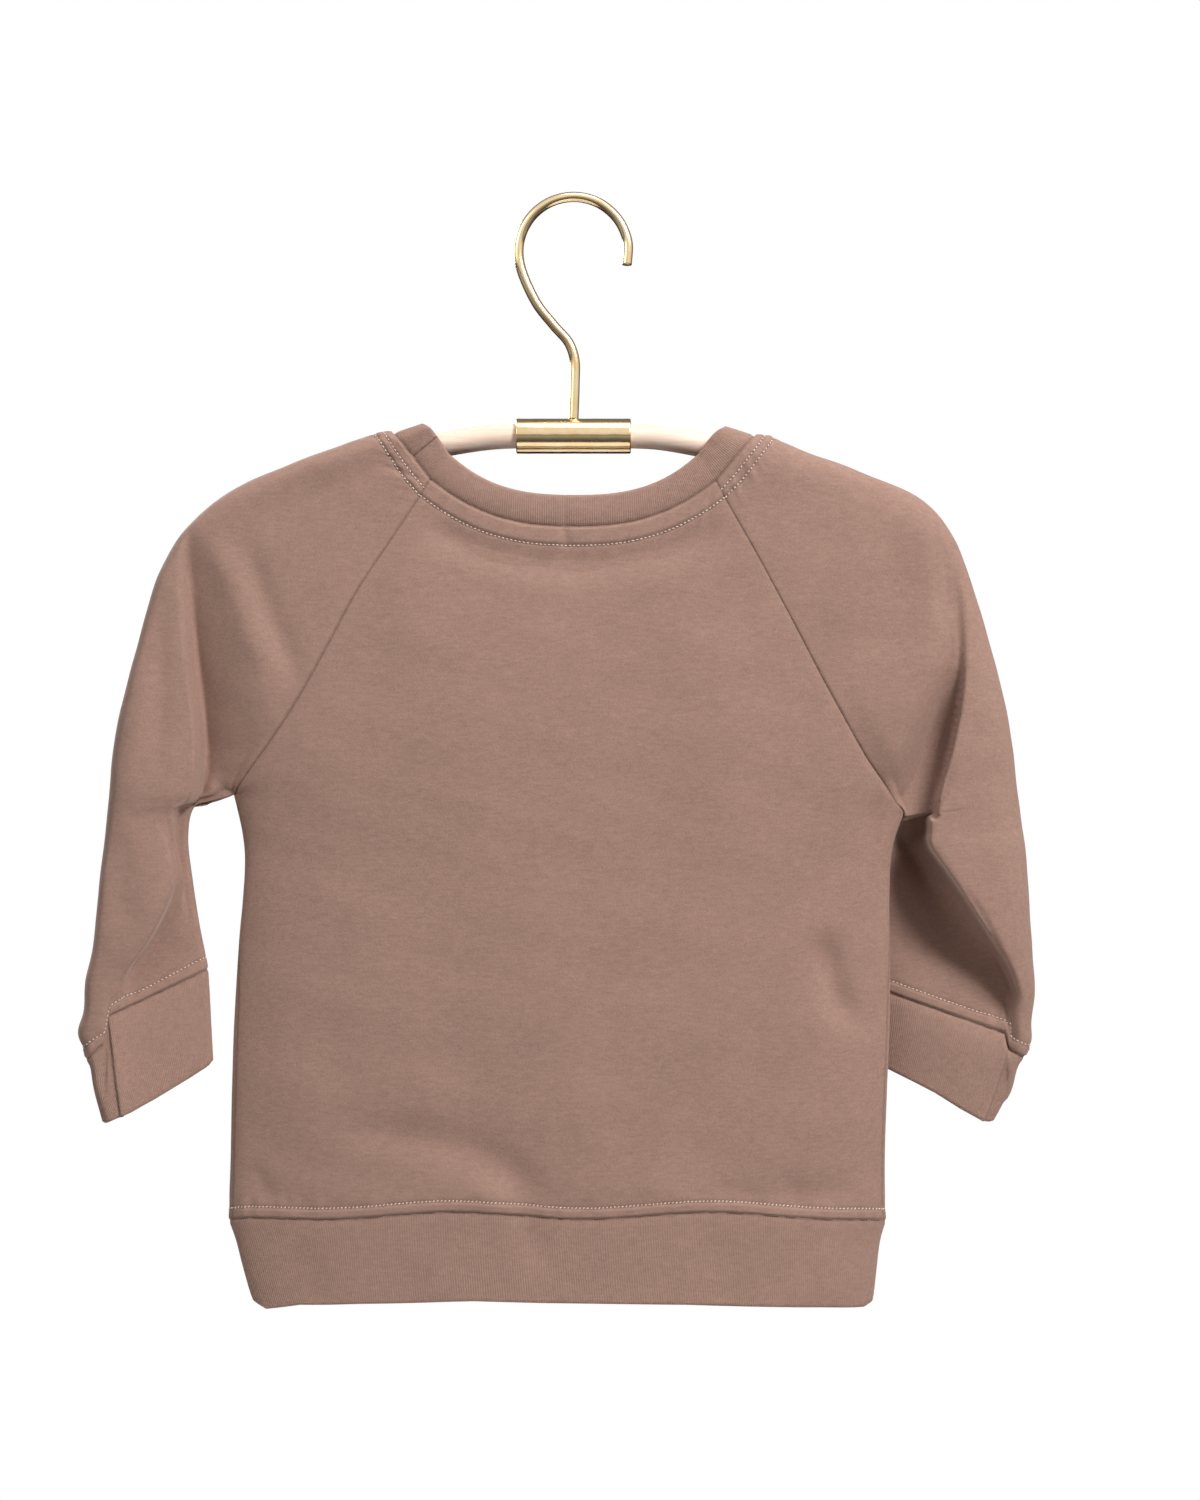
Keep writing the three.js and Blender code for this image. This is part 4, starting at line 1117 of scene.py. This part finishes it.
class Graph:
    """The nodes of a material or of the world, with short ways to add them."""

    def __init__(self, owner):
        owner.use_nodes = True
        self.nodes = owner.node_tree.nodes
        self.links = owner.node_tree.links

    def plug(self, socket, value):
        if isinstance(value, bpy.types.NodeSocket):
            self.links.new(value, socket)
        else:
            socket.default_value = value

    def feed(self, node, **inputs):
        """Sets or links a node's inputs. An underscore in a name stands for a space."""
        for name, value in inputs.items():
            self.plug(node.inputs[name.replace("_", " ")], value)
        return node

    def add(self, kind, **inputs):
        return self.feed(self.nodes.new(f"ShaderNode{kind}"), **inputs)

    def math(self, operation, *values):
        node = self.add("Math")
        node.operation = operation
        for socket, value in zip(node.inputs, values):
            self.plug(socket, value)
        return node.outputs[0]

    def noise(self, vector, scale, detail=2.0, roughness=0.5):
        node = self.add("TexNoise", Vector=vector, Scale=scale, Detail=detail, Roughness=roughness)
        return node.outputs["Fac"]

    def ramp(self, share, stops):
        """Colours at places, blended between them."""
        node = self.add("ValToRGB")
        elements = node.color_ramp.elements
        for element, (place, colour) in zip(elements, (stops[0], stops[-1])):
            element.position = place
            element.color = (*colour, 1)
        for place, colour in stops[1:-1]:
            elements.new(place).color = (*colour, 1)
        self.plug(node.inputs[0], share)
        return node.outputs[0]

    def mix(self, share, first, second):
        node = self.add("MixRGB")
        for socket, value in zip(node.inputs, (share, first, second)):
            self.plug(socket, value)
        return node.outputs[0]

    def bumps(self, height, strength, distance):
        return self.add("Bump", Height=height, Strength=strength, Distance=distance).outputs[0]


def new_material(name):
    """A material with its nodes, its shader and the place on the object."""
    material = bpy.data.materials.new(name)
    graph = Graph(material)
    return material, graph, graph.nodes["Principled BSDF"], graph.add("TexCoord").outputs["Object"]


def tinted(colour, factor):
    return (*[min(1, factor * part) for part in colour], 1)


@functools.cache
def cloth_material(kind):
    """Knit cloth: fine wales and courses, loose fibres, a faint mottle, and painted shade along seams, stitch
    lines, rib valleys and creases.
    """
    name, wale, course = KNIT[kind]
    material, graph, shader, place = new_material(name)
    uv = graph.add("UVMap")
    uv.uv_map = "cloth"
    parts = graph.add("SeparateXYZ", Vector=uv.outputs[0])
    streaky = graph.add("Mapping", Vector=place, Scale=STREAK_SCALE).outputs[0]
    noises = {key: graph.noise(streaky if key == "streak" else place, *settings)
              for key, (settings, _) in CLOTH_NOISE.items()}
    sway = graph.noise(place, SWAY["scale"])
    knit = []
    for output, pitch in ((parts.outputs[0], wale), (parts.outputs[1], course)):
        moved = graph.math("MULTIPLY_ADD", sway, pitch * SWAY["share"], output)
        knit.append(graph.math("SINE", graph.math("MULTIPLY", moved, 2 * math.pi / pitch)))
    loops = graph.math("MULTIPLY", knit[1], knit[0])
    # The tone gathers what makes the cloth lighter or darker around its own colour: the knit's loops, the
    # noises, and painted shade along seams, stitch lines, rib valleys and creases
    tone = graph.math("MULTIPLY_ADD", loops, LOOP_TONE, 1.0)
    for key, (_, strength) in CLOTH_NOISE.items():
        tone = graph.math("MULTIPLY_ADD", graph.math("SUBTRACT", noises[key], 0.5), strength, tone)
    # Painted shade: each point's stored shade darkens the colour, in place of the shade in seams, stitch
    # lines, rib valleys and creases
    painted_shade = graph.add("Attribute")
    painted_shade.attribute_name = "painted_shade"
    tone = graph.math("MULTIPLY_ADD", painted_shade.outputs["Fac"], PAINTED_SHADE_TONE, tone)
    base = graph.add("VectorMath")
    base.operation = "SCALE"
    base.inputs[0].default_value = COLOURS[kind]
    graph.feed(base, Scale=tone)
    height = graph.math("MULTIPLY_ADD", loops, CLOTH_LOOK["loops"], noises["fibre"])
    height = graph.math("MULTIPLY_ADD", noises["blotch"], CLOTH_LOOK["blotch"], height)
    graph.feed(
        shader, Base_Color=base.outputs[0], Normal=graph.bumps(height, *CLOTH_LOOK["bump"]),
        Roughness=graph.math("MULTIPLY_ADD", noises["fibre"], *CLOTH_LOOK["rough"]), Specular_IOR_Level=0.18,
        Sheen_Weight=0.22, Sheen_Roughness=0.45, Sheen_Tint=(1.0, 0.90, 0.84, 1),
    )
    return material


@functools.cache
def thread_material():
    material, graph, shader, place = new_material("sewing_thread")
    tints = [tinted(COLOURS["thread"], factor) for factor in THREAD_LOOK["tints"]]
    colour = graph.mix(graph.noise(place, THREAD_LOOK["noise"]), *tints)
    graph.feed(shader, Base_Color=colour, Roughness=0.55, Sheen_Weight=0.2)
    return material


def two_colours(graph, share, look, first, second):
    places = look["stops"]
    return graph.ramp(share, [(places[0], COLOURS[first]), (places[1], COLOURS[second])])


@functools.cache
def wood_material():
    material, graph, shader, place = new_material("pale_beech")
    stretched = graph.add("Mapping", Vector=place, Scale=WOOD_LOOK["stretch"]).outputs[0]
    grain = graph.noise(stretched, *WOOD_LOOK["grain"])
    fleck = graph.noise(stretched, WOOD_LOOK["fleck"])
    share = graph.math("MULTIPLY_ADD", fleck, WOOD_LOOK["fleck_share"], grain)
    graph.feed(
        shader, Base_Color=two_colours(graph, share, WOOD_LOOK, "wood", "wood_grain"),
        Roughness=graph.math("MULTIPLY_ADD", grain, *WOOD_LOOK["rough"]),
        Normal=graph.bumps(share, *WOOD_LOOK["bump"]),
    )
    return material


@functools.cache
def brass_material():
    material, graph, shader, place = new_material("polished_brass")
    wear = graph.noise(place, *BRASS_LOOK["wear"])
    fine = graph.noise(place, *BRASS_LOOK["fine"])
    height = graph.math("MULTIPLY_ADD", fine, BRASS_LOOK["fine_share"], wear)
    graph.feed(
        shader, Base_Color=two_colours(graph, wear, BRASS_LOOK, "brass", "brass_worn"), Metallic=1.0,
        Roughness=graph.math("MULTIPLY_ADD", fine, *BRASS_LOOK["rough"]),
        Normal=graph.bumps(height, *BRASS_LOOK["bump"]),
    )
    return material


def paint(piece, material):
    piece.data.materials.clear()
    piece.data.materials.append(material)


# The garment

PANELS = ("back", "front")
JERSEY_SEEDS = {"back": 3, "front": 5, "sleeve_left": 7, "sleeve_right": 9}


def finish_piece(piece, material, node):
    paint(piece, material)
    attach(piece, "root")
    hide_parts(node)


def seam_normals(points, yoke_rows):
    """Normals of the panels and sleeves, with one direction for both sides of a seam."""
    normals = {node: surface_normals(grid) for node, grid in points.items()}
    raglan, sides = slice(0, yoke_rows), slice(yoke_rows, None)
    for first, second, rows in (
        ("back", "sleeve_right", raglan), ("sleeve_right", "front", raglan),
        ("front", "sleeve_left", raglan), ("sleeve_left", "back", raglan),
        ("back", "front", sides), ("front", "back", sides),
    ):
        shared = unit(normals[first][rows, -1] + normals[second][rows, 0])
        normals[first][rows, -1] = shared
        normals[second][rows, 0] = shared
    return normals


def collar_join(collar):
    """The column of the collar where its ends are sewn together, on the back."""
    edge = collar[-1]
    away = np.hypot(edge[:, 0] - COLLAR_JOIN["x"], edge[:, 2] - COLLAR_JOIN["z"])
    return np.argmin(np.where(edge[:, 1] > 0, np.inf, away))


def garment():
    yoke = spans_to_places(YOKE_SPANS)[:-1]
    points = {"back": panel_rows(1), "front": panel_rows(-1)}
    for node, sections, spans, side in (
        ("sleeve_left", LEFT_SLEEVE, LEFT_TUBE_SPANS, -1),
        ("sleeve_right", RIGHT_SLEEVE, RIGHT_TUBE_SPANS, 1),
    ):
        places = np.concatenate([yoke, spans_to_places(spans)])
        points[node] = np.array([sleeve_section(sections, place, side) for place in places])
    normals = seam_normals(points, len(yoke) + 1)
    cloth = {}
    for node, seed in JERSEY_SEEDS.items():
        if node in PANELS:
            shape = (NECK_WELT["back"], HEM_WELT, seed)
        else:
            shape = (NECK_WELT["sleeve"], CUFF_WELT, seed, NECK_WELT["inner"])
        cloth[node] = jersey_piece(f"{node}_knit", points[node], normals[node], *shape)
    neck = np.vstack([points[node][0][:-1] for node in ("back", "sleeve_right", "front", "sleeve_left")])
    collar = collar_points(neck)
    cloth["collar"] = rib_piece("collar_rib", collar, COLLAR_RIB, "top", collar_join(collar))
    cloth["hem_band"] = rib_piece("hem_rib", hem_points(), HEM_RIB, "bottom")
    for node, sleeve, sections, side, crease in (
        ("cuff_left", "sleeve_left", LEFT_CUFF, -1, STEPS[0]),
        ("cuff_right", "sleeve_right", RIGHT_CUFF, 1, STEPS[1]),
    ):
        ring = cuff_points(points[sleeve], sections, side)
        cloth[node] = rib_piece(f"{node}_rib", ring, CUFF_RIB, "bottom", crease=crease)
    for node, piece in cloth.items():
        kind = "jersey" if node in JERSEY_SEEDS else "rib"
        finish_piece(piece["piece"], cloth_material(kind), node)
    return cloth


def sewing(cloth):
    """Lines of stitches on the welts, as one piece for each piece of cloth that holds them."""
    thread = {}
    for node in JERSEY_SEEDS:
        piece = cloth[node]
        is_body = node in PANELS
        lower = (HEM_WELT, "hem") if is_body else (CUFF_WELT, "cuff")
        neck = [NECK_WELT["back"]] if is_body else [NECK_WELT["sleeve"], NECK_WELT["inner"]]
        lines = [(*line_at(piece, piece["top"], distance), "neck") for distance in neck]
        lines.append((*line_at(piece, piece["bottom"], lower[0]), lower[1]))
        thread[node] = stitches(f"{node}_stitches", lines)
        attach(thread[node], "root")
    return thread


# The hanger

def sweep(name, path, radii, sides):
    """A round rod along a path in the XZ plane, with a radius at each point, closed at both ends."""
    sideways = np.array([0.0, 1.0, 0.0])
    upward = np.cross(unit(np.gradient(path, axis=0)), sideways)
    angles = 2 * np.pi * np.arange(sides) / sides
    rings = (path[:, None] + radii[:, None, None] * (np.cos(angles)[None, :, None] * sideways
             + np.sin(angles)[None, :, None] * upward[:, None]))
    rows = len(path)
    index = closed(indices(rows, sides))
    faces = quads(index[:-1, :-1], index[1:, :-1], index[1:, 1:], index[:-1, 1:])
    tips = rows * sides + np.arange(2)
    vertices = np.vstack([rings.reshape(-1, 3), path[:1], path[-1:]])
    around = index[0, :-1], index[0, 1:], index[-1, :-1], index[-1, 1:]
    first = np.stack([around[0], around[1], np.full(sides, tips[0])], axis=1)
    last = np.stack([around[3], around[2], np.full(sides, tips[1])], axis=1)
    triangles = np.concatenate([faces[:, [0, 1, 2]], faces[:, [0, 2, 3]], first, last])
    return add_mesh(name, vertices, triangles)


def rounded_ends(along, radius, edge, end):
    """Radii of a rod that is rounded over edge at its start and, where end is true, at its end."""
    away = np.minimum(along, along[-1] - along) if end else along
    dome = np.sqrt(np.clip(1 - (1 - np.minimum(away / edge, 1)) ** 2, DOME_LEAST, 1))
    return radius - edge + edge * dome


def bar_seats(rows, side):
    depth = JERSEY_WALL + BAR_SEAT_GAP + BAR_RADIUS
    seats = []
    for place in BAR_SEAT_ROWS:
        before, here, after = (row_at(rows, place + shift) for shift in (-BAR_SEAT_STEP, 0, BAR_SEAT_STEP))
        run = np.array([after["outX"] - before["outX"], after["outZ"] - before["outZ"]])
        run /= np.hypot(*run)
        seats.append((side * (here["outX"] + run[1] * depth), 0, here["outZ"] - run[0] * depth))
    return seats


def end_crowded(length, radius, count):
    """Distances along a rod, close together in its domed ends."""
    dome = radius * (1 - np.cos(np.linspace(0, np.pi / 2, DOME_ROWS)))
    return np.concatenate([dome, np.linspace(radius, length - radius, count)[1:-1], length - dome[::-1]])


def rod(name, controls, radius, edge, mesh, end=True):
    path = centripetal(controls, np.linspace(0, len(controls) - 1, PATH_POINTS))
    length = lengths(path)[-1]
    along = end_crowded(length, radius, mesh["rows"])
    return sweep(name, resample(path, along / length), rounded_ends(along, radius, edge, end), mesh["sides"])


def hanger_bar():
    half = CLAMP["length"] / 2
    middle = [(x, 0, BAR_HEIGHT - (BAR_MIDDLE["drop"] if abs(x) > half else 0))
              for x in (-BAR_MIDDLE["reach"], -half, 0, half, BAR_MIDDLE["reach"])]
    controls = bar_seats(LEFT_SLEEVE, -1)[::-1] + middle + bar_seats(RIGHT_SLEEVE, 1)
    bar = rod("hanger_bar_wood", controls, BAR_RADIUS, BAR_RADIUS, BAR_MESH)
    finish_piece(bar, wood_material(), "hanger_bar")


def hanger_clamp():
    """A brass sleeve with rolled edges and a slightly dented face."""
    half, radius, bore, edge = CLAMP["length"] / 2, CLAMP["radius"], CLAMP["bore"], CLAMP["edge"]
    turns = np.linspace(0, np.pi / 2, CLAMP_MESH["edge_rows"])
    rolled = [(half - edge * (1 - math.sin(a)), radius - edge * (1 - math.cos(a))) for a in turns]
    profile = [(-x, distance) for x, distance in rolled[::-1]]
    profile += [(x, radius) for x in np.linspace(-half + edge, half - edge, CLAMP_MESH["rows"])[1:-1]]
    profile += rolled + [(half, bore), (-half, bore)]
    x, distance = np.array(profile).T
    angles = 2 * np.pi * np.arange(CLAMP_MESH["sides"]) / CLAMP_MESH["sides"]
    random = np.random.default_rng(RANDOM_SEED)
    dents = np.zeros((len(x), len(angles)))
    for length, turns_round in CLAMP_DENTS:
        lengthways = np.sin(2 * np.pi * x / length + random.uniform(*DENT_PHASES))
        dents += np.outer(lengthways, np.cos(turns_round * angles + random.uniform(*DENT_PHASES)))
    outside = (distance > radius - DENT_LIMIT)[:, None]
    size = distance[:, None] + CLAMP["dent"] * dents * outside
    vertices = np.stack([np.broadcast_to(x[:, None], size.shape), size * np.cos(angles),
                         BAR_HEIGHT + size * np.sin(angles)], axis=-1).reshape(-1, 3)
    index = closed(indices(*size.shape))
    index = np.concatenate([index, index[:1]], axis=0)
    faces = quads(index[:-1, :-1], index[:-1, 1:], index[1:, 1:], index[1:, :-1])
    clamp = add_mesh("hanger_clamp_brass", vertices, faces)
    clamp.data.set_sharp_from_angle(angle=CLAMP_SHARP)
    finish_piece(clamp, brass_material(), "hanger_clamp")


def hanger_hook():
    controls = []
    for share in np.linspace(0, 1, HOOK_ARC["points"]):
        angle = math.radians(lerp(HOOK_ARC["from"], HOOK_ARC["to"], share))
        controls.append((HOOK_ARC["x"] + HOOK_ARC["radius"] * math.cos(angle), 0,
                         HOOK_ARC["z"] + HOOK_ARC["radius"] * math.sin(angle)))
    controls += [(x, 0, z) for x, z in HOOK_STEM]
    controls.append((0, 0, BAR_HEIGHT + CLAMP["radius"] + SEAM_GAP / 2))
    hook = rod("hanger_hook_brass", controls, WIRE_RADIUS, WIRE_EDGE, HOOK_MESH, end=False)
    finish_piece(hook, brass_material(), "hanger_hook")


# The stage

FLOOR = {"height": -0.90, "radius": 0.68, "sides": 96}
FLOOR_LOOK = {"noise": 6, "tints": (1, 1.06), "roughness": 0.9}

# Square lamps: their name, place, aim, size and power
LIGHTS = [
    ("key", (1.05, -1.25, 0.95), (0.0, 0.0, -0.20), 0.6, 41.0),
    ("fill", (-1.2, -1.0, 0.7), (0.0, 0.0, -0.25), 1.0, 6.5),
    ("top", (0.2, -0.5, 1.2), (0.0, 0.0, -0.10), 0.7, 5.5),
    ("behind", (-1.1, 1.3, 0.5), (0.0, 0.0, -0.25), 0.7, 16.0),
]

# The light from around on matt and on polished surfaces: its strength at shares of the way from straight down
# to straight up, and a factor at shares of the way from straight in front to straight behind
WORLD_MATT = (
    [(0.0, 0.05), (0.46, 0.06), (0.54, 0.30), (0.70, 0.52), (1.0, 0.45)],
    [(0.0, 0.12), (0.2, 0.35), (0.4, 1.0), (1.0, 1.0)],
)
WORLD_POLISHED = (
    [(0.0, 0.03), (0.24, 0.10), (0.38, 0.30), (0.465, 0.42), (0.487, 0.08), (0.508, 0.08), (0.54, 0.80),
     (0.75, 0.95), (1.0, 0.80)],
    [(0.0, 1.0), (0.5, 1.0), (0.6, 0.25), (1.0, 0.2)],
)


def add_floor():
    angles = 2 * np.pi * np.arange(FLOOR["sides"]) / FLOOR["sides"]
    rim = np.stack([np.cos(angles), np.sin(angles)], axis=1) * FLOOR["radius"]
    mesh = bpy.data.meshes.new("floor")
    mesh.from_pydata([(x, y, FLOOR["height"]) for x, y in rim.tolist()], [], [list(range(FLOOR["sides"]))])
    floor = bpy.data.objects.new("floor", mesh)
    bpy.context.collection.objects.link(floor)
    material, graph, shader, place = new_material("pale_floor")
    tints = [tinted(COLOURS["floor"], factor) for factor in FLOOR_LOOK["tints"]]
    colour = graph.mix(graph.noise(place, FLOOR_LOOK["noise"]), *tints)
    graph.feed(shader, Base_Color=colour, Roughness=FLOOR_LOOK["roughness"])
    mesh.materials.append(material)


def add_lights():
    for name, place, aim, size, watts in LIGHTS:
        light = bpy.data.lights.new(name, "AREA")
        light.shape = "RECTANGLE"
        light.size = size
        light.size_y = size
        light.energy = watts
        lamp = bpy.data.objects.new(name, light)
        lamp.location = place
        lamp.rotation_euler = (Vector(aim) - Vector(place)).to_track_quat("-Z", "Y").to_euler()
        bpy.context.collection.objects.link(lamp)


def world_light(graph, shares, ramps):
    """A background whose strength is the product of a ramp for each share."""
    factors = [graph.ramp(share, [(place, [value] * 3) for place, value in stops])
               for share, stops in zip(shares, ramps)]
    return graph.add("Background", Color=(1, 1, 1, 1), Strength=graph.math("MULTIPLY", *factors)).outputs[0]


def add_world():
    """White where it is seen, and softer where it lights the object."""
    world = bpy.data.worlds.new("studio")
    bpy.context.scene.world = world
    graph = Graph(world)
    graph.nodes.clear()
    parts = graph.add("SeparateXYZ", Vector=graph.add("TexCoord").outputs["Generated"])
    height, behind = (graph.math("MULTIPLY_ADD", parts.outputs[axis], 0.5, 0.5) for axis in (2, 1))
    path = graph.add("LightPath")
    result = world_light(graph, (height, behind), WORLD_MATT)
    for ray, light in (
        ("Is Glossy Ray", world_light(graph, (height, behind), WORLD_POLISHED)),
        ("Is Camera Ray", graph.add("Background", Color=(1, 1, 1, 1), Strength=1.0).outputs[0]),
    ):
        mix = graph.add("MixShader", Fac=path.outputs[ray])
        graph.plug(mix.inputs[1], result)
        graph.plug(mix.inputs[2], light)
        result = mix.outputs[0]
    graph.add("OutputWorld", Surface=result)


def add_camera():
    camera = bpy.data.cameras.new("camera")
    camera.lens = LENS
    camera.sensor_fit = "VERTICAL"
    camera.sensor_height = SENSOR_HEIGHT
    camera.sensor_width = SENSOR_HEIGHT * IMAGE[0] / IMAGE[1]
    camera.clip_start = CLIP_START
    eye = bpy.data.objects.new("camera", camera)
    eye.location = CAMERA_PLACE
    eye.rotation_euler = (math.pi / 2, 0, 0)
    bpy.context.collection.objects.link(eye)
    bpy.context.scene.camera = eye


def main():
    add_camera()
    cloth = garment()
    thread = sewing(cloth)
    hanger_bar()
    hanger_clamp()
    hanger_hook()
    add_floor()
    add_lights()
    add_world()
    bpy.context.scene.view_settings.view_transform = "Standard"


main()
